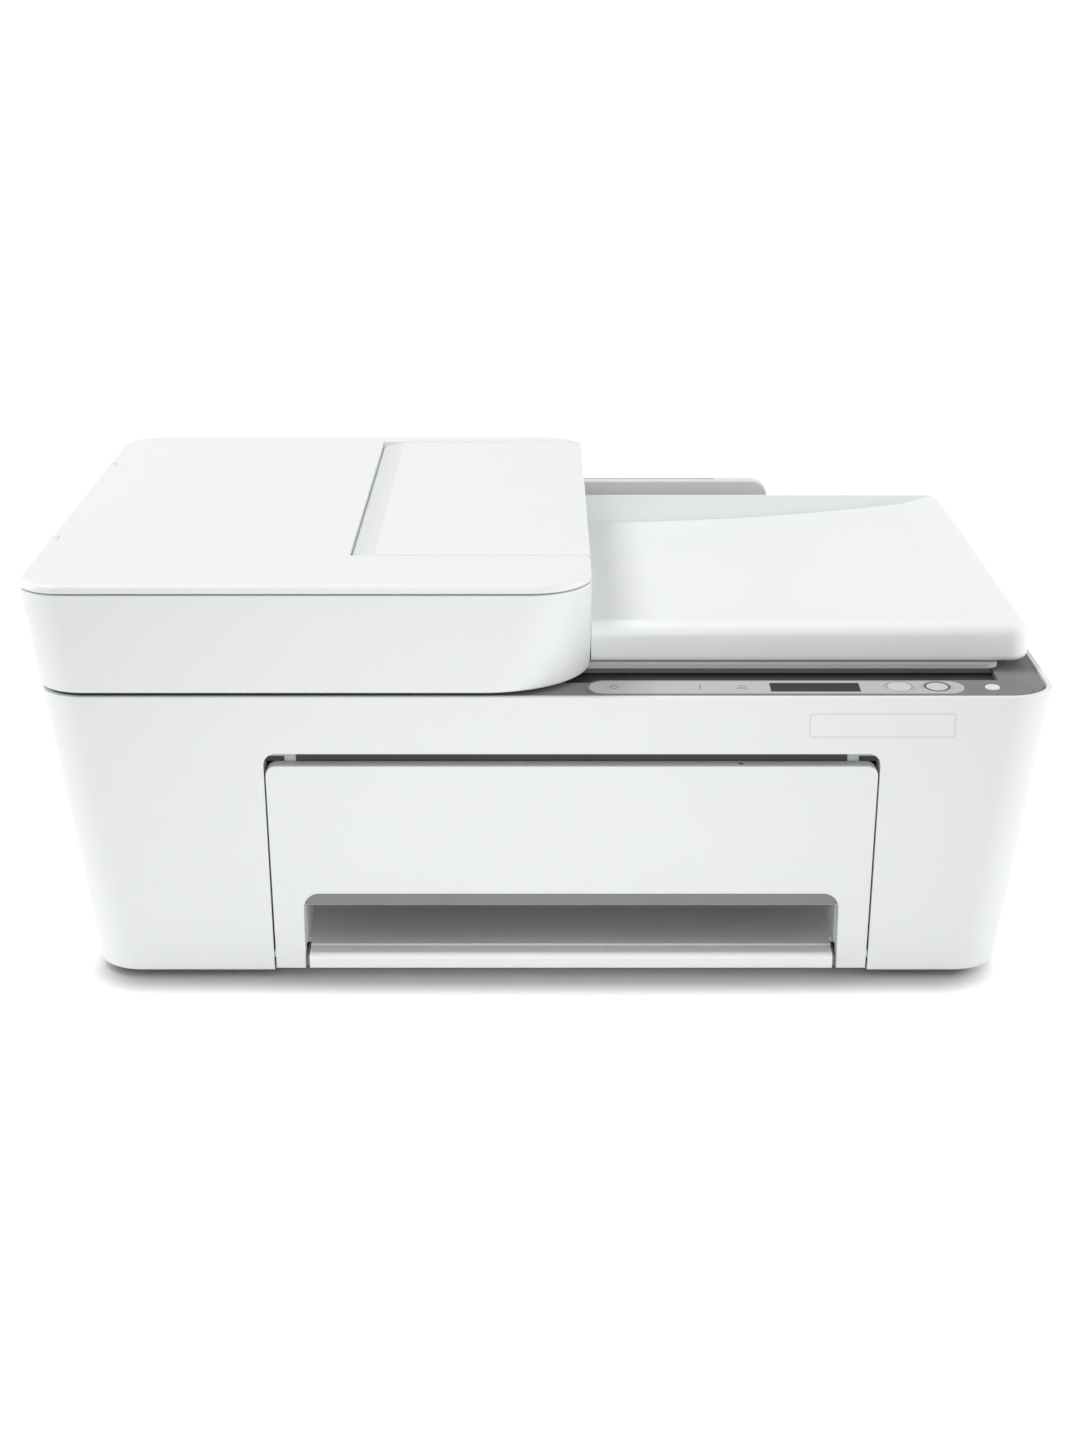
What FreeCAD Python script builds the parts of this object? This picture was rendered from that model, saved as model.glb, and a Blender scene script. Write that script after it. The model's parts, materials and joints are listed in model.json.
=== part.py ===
import FreeCAD, Part
import Sketcher
import math
import os
from FreeCAD import Vector

# Driving sizes in millimetres: alias, value, what it measures
SIZES = [
    ("overall_depth", 332, "front face to the back of the rear support"),
    ("base_top_width", 421, "base across its rim"),
    ("base_bottom_width", 385, "base across its bottom edge"),
    ("base_depth", 306, "front face to rear wall"),
    ("lid_reach", 217.5, "body centre to the feeder cover's left edge"),
    ("foot_height", 3, "rubber feet below the base"),
    ("casing_height", 122, "base casing from bottom edge to rim"),
    ("plan_corner", 20, "plan corner of the base and the feeder"),
    ("feeder_corner", 26, "feeder's front right plan corner at its top"),
    ("feeder_foot_corner", 45, "feeder's front right plan corner at its foot"),
    ("wall", 2.4, "moulded wall"),
    ("seat_gap", 0.3, "gap round a seated piece"),
    ("run_gap", 0.05, "radial clearance of a turning shaft"),
    ("edge_round", 1.2, "small outer edge round"),
    ("pan_thickness", 2.5, "bottom pan plate"),
    ("foot_radius", 9, "rubber foot"),
    ("foot_inset", 30, "foot centre from the base edge"),
    ("ledge_width", 5, "shelf that carries the scanner deck"),
    ("ledge_thickness", 2.5, "same shelf, thickness"),
    ("deck_thickness", 4.2, "scanner deck plate"),
    ("deck_drop", 0.3, "deck below the rim"),
    ("door_offset", 10, "door and paper centre to the right of the body centre"),
    ("door_top_width", 254, "door along its top edge"),
    ("door_bottom_width", 250.4, "door along its bottom edge"),
    ("door_gap", 0.7, "gap beside the door"),
    ("door_thickness", 3, "door panel"),
    ("door_flange", 7, "door rim depth front to back"),
    ("door_rim_wall", 2.4, "door rim thickness"),
    ("door_bottom", 4, "door bottom edge above the table"),
    ("finger_gap", 5.4, "gap above the door"),
    ("door_corner", 5, "door top corners"),
    ("opening_drop", 24.6, "door opening's top below the rim"),
    ("jamb_thickness", 3.2, "door jamb plate"),
    ("jamb_depth", 14, "door jamb plate behind the front face"),
    ("bay_rail_in", 11.8, "bay rail's end from the jamb"),
    ("bay_rail_back", 10.2, "bay rail behind the front face"),
    ("bay_rail_thickness", 1.6, "bay rail"),
    ("bay_rail_low", 1.1, "bay rail's lower edge below the door's top"),
    ("bay_rail_height", 9.7, "bay rail"),
    ("bay_lug_height", 4.6, "lugs that carry the bay rail"),
    ("door_pin_radius", 1.75, "door hinge pin"),
    ("door_pin_length", 5.6, "door hinge pin"),
    ("door_axis_back", 3.5, "door hinge axis behind the front face"),
    ("door_axis_height", 9.5, "door hinge axis above the table"),
    ("slot_gap", 1.7, "paper exit slot beside the extender"),
    ("slot_top", 38, "paper exit slot's top above the table"),
    ("slot_corner", 6.5, "paper exit slot's top corners"),
    ("slot_rib", 6, "rib behind the slot's top edge, below it"),
    ("leg_height", 42, "thicker door legs beside the slot"),
    ("extender_width", 222, "tray extender"),
    ("extender_length", 150, "tray extender front to back"),
    ("extender_thickness", 2.6, "tray extender plate"),
    ("extender_lift", 0.8, "tray extender plate above the pan"),
    ("extender_lip_height", 6.6, "tray extender's front lip"),
    ("extender_lip_depth", 9, "tray extender's front lip"),
    ("extender_lip_round", 2.6, "tray extender's front top edge"),
    ("rail_width", 2.4, "pan rails beside the extender"),
    ("rail_gap", 0.4, "extender to rail"),
    ("rail_front", 16, "rails and exit floor behind the front face"),
    ("rail_length", 140, "rails front to back"),
    ("floor_thickness", 2, "paper exit floor"),
    ("floor_flat", 35, "flat front part of the exit floor"),
    ("tongue_gap", 0.6, "exit floor's tongue behind the extender's lip"),
    ("tongue_side", 1.5, "exit floor's tongue from the slot's side"),
    ("floor_ramp", 41, "ramp behind the flat part"),
    ("floor_rise", 17.6, "ramp height"),
    ("pan_notch", 12, "pan set back behind the door"),
    ("window_width", 216, "paper window in the rear wall"),
    ("window_bottom", 40, "paper window above the table"),
    ("window_top", 92, "paper window above the table"),
    ("inlet_in", 24.5, "power inlet from the base's left edge"),
    ("usb_in", 54.5, "data socket from the base's left edge"),
    ("inlet_z", 24, "rear sockets above the table"),
    ("inlet_width", 24, "power inlet block"),
    ("inlet_height", 16, "power inlet block"),
    ("usb_width", 15, "data socket block"),
    ("usb_height", 14, "data socket block"),
    ("inlet_corner", 5, "power inlet recess corner"),
    ("usb_corner", 1.2, "data socket recess corner"),
    ("glass_thickness", 3, "scanner glass"),
    ("glass_width", 306, "main glass left to right"),
    ("glass_depth", 222, "main glass front to back"),
    ("glass_back", 24, "glass rear edge from the rear wall"),
    ("glass_left", 142, "main glass left edge from the body centre"),
    ("strip_width", 16, "feeder glass strip"),
    ("strip_gap", 9, "bar between the two glasses"),
    ("glass_seat", 4, "glass overlap on its seat"),
    ("bed_side", 20, "scan bed left of the feeder glass"),
    ("bed_end", 23, "scan bed right of the main glass"),
    ("bed_lead", 12, "scan bed in front of the glass"),
    ("bed_back", 9, "scan bed from the rear wall"),
    ("bed_height", 23.5, "scan bed under the deck"),
    ("bed_wall", 2, "scan bed wall"),
    ("bed_corner", 8, "scan bed plan corner"),
    ("scan_rod_radius", 3, "scan bar guide rod"),
    ("scan_rod_lift", 8, "guide rod above the bed's underside"),
    ("scan_bar_width", 24, "scan bar"),
    ("scan_bar_height", 9, "scan bar"),
    ("scan_bar_gap", 1.8, "scan bar below the glass"),
    ("scan_bar_end", 5, "scan bar end to the bed wall"),
    ("saddle_half", 6.6, "scan bar's saddle on the guide rod, half width"),
    ("panel_left", 15.8, "control panel left edge from the body centre"),
    ("panel_margin", 9.5, "control panel's right end from the base's side"),
    ("panel_set", 3.2, "control panel behind the front face"),
    ("panel_depth", 17, "control panel front to back"),
    ("panel_rise", 1.2, "control panel's rise to the back"),
    ("panel_corner", 8, "control panel plan corner"),
    ("panel_edge", 0.3, "control panel's front edge thickness"),
    ("inset_start", 1.3, "inset plate from the panel's left end"),
    ("inset_end", 28.5, "inset plate from the panel's right end"),
    ("inset_width", 14, "inset plate front to back"),
    ("inset_depth", 0.2, "inset plate sunk in the panel"),
    ("inset_proud", 0.1, "inset plate above the panel"),
    ("gutter_gap", 0.6, "deck gutter behind the control panel"),
    ("gutter_depth", 3, "deck gutter"),
    ("gutter_under", 6, "deck gutter under the lid plate's front"),
    ("gutter_corner", 4, "deck gutter's corners"),
    ("display_in", 108.7, "display's left edge from the panel's right end"),
    ("display_width", 36.7, "display"),
    ("display_depth", 9.4, "display front to back"),
    ("display_thickness", 2.6, "display block"),
    ("stop_in", 55.5, "stop button from the panel's right end"),
    ("start_in", 39.8, "start button from the panel's right end"),
    ("power_in", 16.9, "power button from the panel's right end"),
    ("button_radius", 6.1, "round buttons"),
    ("power_radius", 3.1, "power button"),
    ("button_gap", 0.2, "gap round a button"),
    ("button_travel", 0.6, "button stroke"),
    ("button_proud", 0.4, "button above the panel"),
    ("button_skirt", 3.2, "button body below the panel top"),
    ("stem_radius", 1.8, "button stem"),
    ("stem_gap", 1.5, "button stem above the panel board"),
    ("board_drop", 6.5, "panel board below the deck"),
    ("board_thickness", 1.6, "printed board"),
    ("chassis_margin", 14.5, "chassis side plates from the base's narrowest side"),
    ("sheet", 1.5, "chassis sheet"),
    ("chassis_front", 92, "side plates behind the front face"),
    ("chassis_back", 256, "side plates' rear edge behind the front face"),
    ("chassis_drop", 4, "chassis below the scan bed"),
    ("beam_back", 222, "rail beam behind the front face"),
    ("beam_height", 37, "rail beam"),
    ("flange_width", 8, "chassis foot flange"),
    ("rod_radius", 4, "carriage guide rod"),
    ("rod_back", 200, "carriage rod behind the front face"),
    ("rod_drop", 23, "carriage rod below the chassis top"),
    ("roller_height", 30, "feed and exit roller axes above the table"),
    ("feed_back", 234, "feed roller behind the front face"),
    ("exit_back", 104, "exit roller behind the front face"),
    ("shaft_radius", 4, "feed and exit shafts"),
    ("feed_radius", 8, "feed roller tyres"),
    ("exit_radius", 6, "exit roller tyres"),
    ("tyre_length", 26, "roller tyre"),
    ("tyre_pitch", 46, "roller tyre spacing"),
    ("tyre_count", 5, "tyres on each paper roller"),
    ("gear_module", 1, "feed gear module"),
    ("gear_teeth", 44, "feed gear teeth"),
    ("pinion_teeth", 14, "motor pinion teeth"),
    ("gear_width", 4, "feed gear"),
    ("gear_outset", 1.2, "gear beyond the chassis plate"),
    ("mesh_slack", 0.25, "extra centre distance of the gear pair"),
    ("pulley_radius", 9, "transfer belt pulleys"),
    ("belt_thickness", 1.2, "drive belts"),
    ("belt_width", 4, "drive belts"),
    ("motor_radius", 13, "motor can"),
    ("motor_length", 26, "motor can"),
    ("motor_shaft_radius", 1.5, "motor shaft"),
    ("carriage_width", 78, "carriage"),
    ("carriage_front", 118, "carriage front behind the front face"),
    ("carriage_depth", 90, "carriage front to back"),
    ("carriage_bottom", 41, "carriage above the table"),
    ("carriage_drop", 8, "carriage below the chassis top"),
    ("park_gap", 2, "parked carriage from the left side plate"),
    ("bay_width", 33, "cartridge bay"),
    ("bay_depth", 74, "cartridge bay front to back"),
    ("bay_floor", 4, "carriage floor"),
    ("cartridge_drop", 5, "cartridge below the carriage top"),
    ("snout_front", 8, "cartridge snout behind its front"),
    ("snout_length", 32, "cartridge snout front to back"),
    ("snout_drop", 7, "cartridge snout below the bay floor"),
    ("belt_pulley_radius", 6, "carriage belt pulleys"),
    ("belt_inset", 18, "carriage belt pulleys from the side plates"),
    ("belt_drop", 13, "carriage belt axes below the chassis top"),
    ("belt_back", 215, "carriage belt middle behind the front face"),
    ("encoder_height", 6, "encoder strip"),
    ("encoder_thickness", 0.4, "encoder strip"),
    ("encoder_drop", 31, "encoder strip's lower edge below the chassis top"),
    ("platen_half", 119, "print platen half width"),
    ("platen_front", 116, "platen front behind the front face"),
    ("platen_depth", 104, "platen front to back"),
    ("platen_top", 34, "platen plate above the table"),
    ("platen_thickness", 3, "platen plate"),
    ("rib_height", 1.6, "platen ribs"),
    ("rib_width", 1.2, "platen ribs"),
    ("rib_pitch", 18, "platen ribs"),
    ("rib_count", 13, "platen ribs"),
    ("station_gap", 6, "service station from the left side plate"),
    ("station_side", 2.5, "service station from the platen"),
    ("station_front", 126, "service station behind the front face"),
    ("station_depth", 60, "service station front to back"),
    ("station_top", 33, "service station above the table"),
    ("cap_height", 3.6, "service caps"),
    ("cap_half", 7, "service caps, half width"),
    ("cap_reach", 11.2, "service caps, half length"),
    ("pick_in", 9, "pick roller in front of the rear wall's outside"),
    ("pick_height", 66, "pick roller above the table"),
    ("pick_radius", 11, "pick roller tyres"),
    ("pick_shaft", 3, "pick roller shaft"),
    ("pick_half", 62, "pick roller bearing posts from the paper centre"),
    ("post_thickness", 4, "pick roller bearing posts"),
    ("main_board_side", 8.2, "main board from the exit floor"),
    ("main_board_depth", 96, "main board front to back"),
    ("main_board_front", 26, "main board behind the front face"),
    ("main_board_gap", 6, "main board from the left side plate"),
    ("standoff", 5, "main board above the pan"),
    ("standoff_radius", 3, "main board standoffs"),
    ("supply_width", 64, "power supply"),
    ("supply_depth", 28, "power supply front to back"),
    ("supply_height", 30, "power supply"),
    ("supply_gap", 18, "power supply from the rear wall"),
    ("chute_half", 111.5, "rear chute between its cheeks, half"),
    ("cheek_thickness", 3, "rear chute cheeks"),
    ("chute_bottom", 30, "rear chute above the table"),
    ("chute_top", 112, "rear chute cheeks' top above the table"),
    ("chute_lip", 60, "rear chute's back lip above the table"),
    ("chute_plate", 2.5, "rear chute floor and back"),
    ("support_gap", 2.5, "rear support from the chute cheeks"),
    ("support_thickness", 8, "rear support"),
    ("support_bottom", 64, "rear support above the table"),
    ("support_top", 143, "rear support above the table"),
    ("support_axis", 70, "rear support hinge above the table"),
    ("support_pin_radius", 2.5, "rear support hinge pin"),
    ("support_corner", 9, "rear support top corners"),
    ("extension_half", 80, "support extension half width"),
    ("extension_thickness", 2.2, "support extension"),
    ("extension_length", 66, "support extension"),
    ("guide_height", 42, "paper guide"),
    ("guide_reach", 8, "paper guide in front of the support"),
    ("guide_thickness", 2, "paper guide"),
    ("guide_bottom", 76, "paper guide above the table"),
    ("groove_bottom", 86, "guide groove above the table"),
    ("groove_height", 6, "guide groove"),
    ("groove_depth", 2, "guide groove"),
    ("groove_inner", 26, "guide groove's inner end from the paper centre"),
    ("guide_foot", 18, "guide foot in the groove"),
    ("lid_gap", 1.6, "feeder housing above the rim"),
    ("lid_lean", 6.6, "feeder's left side leans out to its top"),
    ("feeder_right", 18.2, "feeder right wall from the body centre"),
    ("feeder_setback", 6, "feeder's rear from the rear wall"),
    ("feeder_height", 41.4, "feeder housing"),
    ("cover_gap", 0.6, "seam under the feeder cover"),
    ("cover_thickness", 3.4, "feeder cover"),
    ("cover_round", 2.4, "feeder cover's top edge"),
    ("flap_left", 84, "flap recess left edge from the body centre"),
    ("flap_front", 50, "flap recess behind the front face"),
    ("flap_back", 15, "flap recess from the feeder's rear"),
    ("flap_gap", 0.5, "gap round the flap"),
    ("flap_ledge", 2.2, "cover ledge under the flap's left edge"),
    ("flap_ledge_thickness", 1, "same ledge"),
    ("flap_rest", 0.1, "flap above the ledge"),
    ("flap_ramp", 10.4, "finger ramp on the flap's left edge"),
    ("flap_ramp_drop", 2.6, "finger ramp depth"),
    ("small_pin", 1.0, "cover and flap hinge pins"),
    ("small_pin_length", 5, "cover and flap hinge pins"),
    ("cover_axis_in", 1.35, "cover hinge axis from its left edge"),
    ("lug_length", 7, "cover hinge lugs"),
    ("lug_front", 76, "front cover lug behind the front face"),
    ("lug_rear", 74, "rear cover lug from the feeder's rear"),
    ("lug_gap", 0.25, "cover notch round a lug"),
    ("exit_slot_front", 56, "document exit behind the front face"),
    ("exit_slot_back", 20, "document exit from the feeder's rear"),
    ("exit_slot_lift", 18, "document exit above the lid plate"),
    ("exit_slot_height", 12, "document exit"),
    ("plate_lift", 1.0, "lid plate above the rim"),
    ("plate_thickness", 2, "lid plate"),
    ("plate_front", 37, "lid plate's front right of the feeder"),
    ("plate_corner", 6, "lid plate corners"),
    ("plate_inset", 13.5, "lid plate's right end from the tray's right edge"),
    ("plate_tail", 4.6, "lid plate behind the hinge axis"),
    ("tail_lift", 2.8, "feeder's rear edge above the lid plate"),
    ("tray_margin", 5.5, "document tray's right edge from the base's side at the rim"),
    ("tray_front", 39, "document tray behind the front face"),
    ("tray_hinge_gap", 0.6, "document tray to the hinge posts"),
    ("tray_height", 16.4, "document tray"),
    ("tray_corner", 9.5, "document tray's right corners"),
    ("tray_round", 5.5, "document tray's top outer edges"),
    ("tray_foot_round", 2.8, "document tray's lower front edge"),
    ("tray_lip", 8, "document tray's front lip"),
    ("tray_rim", 6, "document tray's back rim"),
    ("tray_floor_left", 2.3, "document tray floor thickness at the feeder"),
    ("tray_crest_in", 6.5, "dish's right end from the tray's right edge"),
    ("tray_crest_rise", 11.5, "dish's rise to its right end"),
    ("tray_dish", 1430, "radius of the dish"),
    ("tray_hollow_in", 83, "hollow under the dish from the tray's right edge"),
    ("tray_skin", 2.2, "document tray skin"),
    ("pad_thickness", 1.1, "platen pad"),
    ("pad_margin", 6, "platen pad beyond the glass"),
    ("hinge_in", 8, "lid hinge axis in front of the feeder's rear"),
    ("hinge_lift", 8, "lid hinge axis above the lid plate"),
    ("hinge_pin", 2.2, "lid hinge pin"),
    ("hinge_spread", 150, "lid hinges from the body centre"),
    ("hinge_ear", 14, "lid hinge ear width"),
    ("hinge_ear_radius", 5, "lid hinge ear"),
    ("hinge_post", 5, "lid hinge post width"),
    ("hinge_post_radius", 4.4, "lid hinge post"),
    ("hinge_gap", 0.4, "ear to post"),
    ("guide_cheek", 2.4, "feeder guide cheeks"),
    ("guide_front", 34, "feeder guide behind the front face"),
    ("guide_back", 26, "feeder guide from the feeder's rear"),
    ("guide_side", 29.5, "feeder guide from the feeder's left edge"),
    ("guide_short", 3, "feeder guide from the housing's right wall"),
    ("ramp_left", 92, "document ramp's low end from the body centre"),
    ("ramp_low", 22, "document ramp's low end above the lid plate"),
    ("ramp_high", 32.5, "document ramp's right end above the lid plate"),
    ("exit_low", 6.5, "exit ramp's low end above the lid plate"),
    ("exit_high", 17.5, "exit ramp's right end above the lid plate"),
    ("exit_side", 67.5, "exit ramp's low end from the feeder's left edge"),
    ("drive_side", 49.5, "feeder drive roller from the feeder's left edge"),
    ("drive_lift", 21.5, "feeder drive roller above the lid plate"),
    ("drive_radius", 11, "feeder drive roller"),
    ("turn_gap", 2, "paper gap round the drive roller"),
    ("small_shaft", 3, "feeder roller shafts"),
    ("separator_x", 104, "feeder pick roller from the body centre"),
    ("separator_drop", 10.6, "feeder pick roller below the cover"),
    ("separator_radius", 6.5, "feeder pick roller"),
    ("separator_half", 22, "feeder pick roller half length"),
    ("arm_thickness", 3, "pick roller arms on the cover"),
    ("arm_tip", 5.4, "pick roller arms at their tip, half width"),
    ("arm_end", 4.8, "pick roller arms below the roller axis"),
    ("arm_lead", 9, "pick roller arms' root right of the axis"),
    ("arm_trail", 15, "pick roller arms' root left of the axis"),
]


class Size:
    """A length: its value now and the sheet expression that gives it."""

    def __init__(self, value, text):
        self.value = float(value)
        self.text = text

    def _join(self, other, sign, value, swap=False):
        left, right = (other, self) if swap else (self, other)
        return Size(value, f"({left.text} {sign} {right.text})")

    def __add__(self, other):
        other = as_size(other)
        return self._join(other, "+", self.value + other.value)

    __radd__ = __add__

    def __sub__(self, other):
        other = as_size(other)
        return self._join(other, "-", self.value - other.value)

    def __rsub__(self, other):
        other = as_size(other)
        return self._join(other, "-", other.value - self.value, swap=True)

    def __mul__(self, other):
        other = as_size(other)
        return self._join(other, "*", self.value * other.value)

    __rmul__ = __mul__

    def __truediv__(self, other):
        other = as_size(other)
        return self._join(other, "/", self.value / other.value)

    def __neg__(self):
        return Size(-self.value, f"(0 - {self.text})")


def as_size(number):
    """Give a plain number the same face as a sheet size."""
    if isinstance(number, Size):
        return number
    return Size(number, f"({number})")


def least(one, other):
    """The smaller of two sizes."""
    return Size(min(one.value, other.value), f"min({one.text}; {other.text})")


class Dims:
    """The sheet's cells as attributes."""


doc = FreeCAD.newDocument("inkjet_printer")
sheet = doc.addObject("Spreadsheet::Sheet", "dims")
d = Dims()
for row, (alias, number, note) in enumerate(SIZES, 1):
    sheet.set(f"A{row}", note)
    sheet.set(f"B{row}", str(number))
    sheet.setAlias(f"B{row}", alias)
    setattr(d, alias, Size(number, f"dims.{alias}"))
doc.recompute()

AXIS = {"XY": 2, "XZ": 1, "YZ": 0}


class Rect:
    """A rectangle between two sizes each way, with rounded corners if asked."""

    def __init__(self, left, right, low, high, radius=None):
        self.sides = [as_size(side) for side in (left, right, low, high)]
        self.radius = None if radius is None else as_size(radius)

    def draw(self, sketch):
        left, right, low, high = self.sides
        if self.radius is None:
            Poly([(left, low), (right, low), (right, high), (left, high)]).draw(sketch)
            return
        x0, x1, y0, y1 = (side.value for side in self.sides)
        r = self.radius.value
        first = sketch.GeometryCount
        lines = [((x0 + r, y0), (x1 - r, y0)), ((x1, y0 + r), (x1, y1 - r)),
                 ((x1 - r, y1), (x0 + r, y1)), ((x0, y1 - r), (x0, y0 + r))]
        centres = [(x1 - r, y0 + r), (x1 - r, y1 - r), (x0 + r, y1 - r), (x0 + r, y0 + r)]
        for turn, ((start, end), centre) in enumerate(zip(lines, centres)):
            sketch.addGeometry(Part.LineSegment(Vector(*start, 0), Vector(*end, 0)), False)
            circle = Part.Circle(Vector(*centre, 0), Vector(0, 0, 1), r)
            begin = math.radians(90 * turn - 90)
            sketch.addGeometry(Part.ArcOfCircle(circle, begin, begin + math.pi / 2), False)
        for turn in range(4):
            line, arc, following = first + 2 * turn, first + 2 * turn + 1, first + (2 * turn + 2) % 8
            sketch.addConstraint(Sketcher.Constraint("Tangent", line, 2, arc, 1))
            sketch.addConstraint(Sketcher.Constraint("Tangent", arc, 2, following, 1))
        for line, way in ((0, "Horizontal"), (2, "Vertical"), (4, "Horizontal"), (6, "Vertical")):
            sketch.addConstraint(Sketcher.Constraint(way, first + line))
        for arc in (3, 5, 7):
            sketch.addConstraint(Sketcher.Constraint("Equal", first + 1, first + arc))
        bind(sketch, Sketcher.Constraint("Radius", first + 1, r), self.radius)
        for line, way, side in ((0, "DistanceY", low), (2, "DistanceX", right),
                                (4, "DistanceY", high), (6, "DistanceX", left)):
            bind(sketch, Sketcher.Constraint(way, -1, 1, first + line, 1, side.value), side)


class Poly:
    """A closed straight-sided outline."""

    def __init__(self, points):
        self.points = [(as_size(x), as_size(y)) for x, y in points]

    def draw(self, sketch):
        first = sketch.GeometryCount
        spots = [Vector(x.value, y.value, 0) for x, y in self.points]
        count = len(spots)
        for i in range(count):
            sketch.addGeometry(Part.LineSegment(spots[i], spots[(i + 1) % count]), False)
        for i in range(count):
            sketch.addConstraint(Sketcher.Constraint("Coincident", first + i, 2,
                                                     first + (i + 1) % count, 1))
        for i, (x, y) in enumerate(self.points):
            bind(sketch, Sketcher.Constraint("DistanceX", -1, 1, first + i, 1, x.value), x)
            bind(sketch, Sketcher.Constraint("DistanceY", -1, 1, first + i, 1, y.value), y)


class Disc:
    """A circle."""

    def __init__(self, x, y, radius):
        self.x, self.y, self.radius = as_size(x), as_size(y), as_size(radius)

    def draw(self, sketch):
        circle = Part.Circle(Vector(self.x.value, self.y.value, 0), Vector(0, 0, 1), self.radius.value)
        index = sketch.addGeometry(circle, False)
        bind(sketch, Sketcher.Constraint("Radius", index, self.radius.value), self.radius)
        bind(sketch, Sketcher.Constraint("DistanceX", -1, 1, index, 3, self.x.value), self.x)
        bind(sketch, Sketcher.Constraint("DistanceY", -1, 1, index, 3, self.y.value), self.y)


class Bowed:
    """Straight sides closed by an arc, which bows to the right of the way from first to last."""

    def __init__(self, points, radius):
        self.points = [(as_size(x), as_size(y)) for x, y in points]
        self.radius = as_size(radius)

    def draw(self, sketch):
        spots = [Vector(x.value, y.value, 0) for x, y in self.points]
        first = sketch.GeometryCount
        for start, end in zip(spots, spots[1:]):
            sketch.addGeometry(Part.LineSegment(start, end), False)
        last = sketch.GeometryCount - 1
        chord = spots[-1] - spots[0]
        height = math.sqrt(self.radius.value ** 2 - chord.Length ** 2 / 4)
        hub = (spots[0] + spots[-1]) / 2 + Vector(-chord.y, chord.x, 0) / chord.Length * height
        begin, end = (math.atan2(spot.y - hub.y, spot.x - hub.x) for spot in (spots[0], spots[-1]))
        arc = sketch.addGeometry(Part.ArcOfCircle(Part.Circle(hub, Vector(0, 0, 1), self.radius.value),
                                                  begin, end), False)
        for line in range(first, last):
            sketch.addConstraint(Sketcher.Constraint("Coincident", line, 2, line + 1, 1))
        sketch.addConstraint(Sketcher.Constraint("Coincident", first, 1, arc, 1))
        sketch.addConstraint(Sketcher.Constraint("Coincident", last, 2, arc, 2))
        ends = [(line, 1) for line in range(first, last + 1)] + [(last, 2)]
        for (line, end), (x, y) in zip(ends, self.points):
            bind(sketch, Sketcher.Constraint("DistanceX", -1, 1, line, end, x.value), x)
            bind(sketch, Sketcher.Constraint("DistanceY", -1, 1, line, end, y.value), y)
        bind(sketch, Sketcher.Constraint("Radius", arc, self.radius.value), self.radius)


def spandrel(right, face, radius, reach):
    """The patch between a square front right corner and its round."""
    inner, back = right - radius, face + radius
    return Bowed([(inner, face), (inner, face - reach), (right + reach, face - reach),
                  (right + reach, back), (right, back)], radius)


def bind(sketch, constraint, size):
    """Add a constraint and tie its value to the sheet."""
    index = sketch.addConstraint(constraint)
    sketch.setExpression(f"Constraints[{index}]", size.text)


def new_body(label):
    """Start a node of its own."""
    body = doc.addObject("PartDesign::Body", label)
    body.Label = label
    body.AllowCompound = True
    return body


def place(body, x=0, y=0, z=0):
    """Tie a body's position to the sheet."""
    for axis, size in zip("xyz", (x, y, z)):
        body.setExpression(f"Placement.Base.{axis}", as_size(size).text)


def new_sketch(body, plane, level, outlines):
    """Draw outlines on one of the body's planes, at a level along its axis."""
    sketch = body.newObject("Sketcher::SketchObject", "Sketch")
    origin = [item for item in body.Origin.OriginFeatures if item.Role == f"{plane}_Plane"][0]
    sketch.AttachmentSupport = [(origin, "")]
    sketch.MapMode = "FlatFace"
    level = as_size(level)
    offset = -level if plane == "XZ" else level
    sketch.setExpression("AttachmentOffset.Base.z", offset.text)
    for outline in outlines:
        outline.draw(sketch)
    return sketch


def pad(body, plane, low, high, *outlines):
    """Fill outlines between two levels along the plane's axis."""
    low, high = as_size(low), as_size(high)
    start = high if plane == "XZ" else low
    feature = body.newObject("PartDesign::Pad", "Pad")
    feature.Profile = new_sketch(body, plane, start, outlines)
    feature.setExpression("Length", (high - low).text)
    body.Tip = feature
    doc.recompute()
    return feature


def cut(body, plane, low, high, *outlines):
    """Cut outlines away between two levels along the plane's axis."""
    low, high = as_size(low), as_size(high)
    start = low if plane == "XZ" else high
    before = body.Shape.Volume
    feature = body.newObject("PartDesign::Pocket", "Pocket")
    feature.Profile = new_sketch(body, plane, start, outlines)
    feature.setExpression("Length", (high - low).text)
    body.Tip = feature
    doc.recompute()
    if body.Shape.Volume >= before:
        raise RuntimeError(f"a cut in {body.Label} removes nothing")
    return feature


def loft(body, kind, low, high, first, last):
    """Add or take away a straight loft between two level outlines."""
    feature = body.newObject(f"PartDesign::{kind}Loft", "Loft")
    feature.Profile = new_sketch(body, "XY", low, [first])
    feature.Sections = [new_sketch(body, "XY", high, [last])]
    feature.Ruled = True
    body.Tip = feature
    doc.recompute()
    return feature


def turn(body, points, axis="H_Axis"):
    """Revolve an outline about the body's own X axis, or its Y axis."""
    feature = body.newObject("PartDesign::Revolution", "Revolution")
    sketch = new_sketch(body, "XY", 0, [Poly(points)])
    feature.Profile = sketch
    feature.ReferenceAxis = (sketch, [axis])
    feature.Angle = 360
    body.Tip = feature
    doc.recompute()
    return feature


def row_of(body, feature, length, count, axis="H_Axis"):
    """Repeat a feature along its sketch's axis."""
    pattern = body.newObject("PartDesign::LinearPattern", "Row")
    pattern.Originals = [feature]
    pattern.Direction = (feature.Profile[0], [axis])
    pattern.setExpression("Length", as_size(length).text)
    pattern.setExpression("Occurrences", as_size(count).text)
    body.Tip = pattern
    doc.recompute()
    return pattern


def ring_of(body, feature, count):
    """Repeat a feature round its sketch's normal."""
    pattern = body.newObject("PartDesign::PolarPattern", "Ring")
    pattern.Originals = [feature]
    pattern.Axis = (feature.Profile[0], ["N_Axis"])
    pattern.Angle = 360
    pattern.setExpression("Occurrences", as_size(count).text)
    body.Tip = pattern
    doc.recompute()
    return pattern


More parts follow.
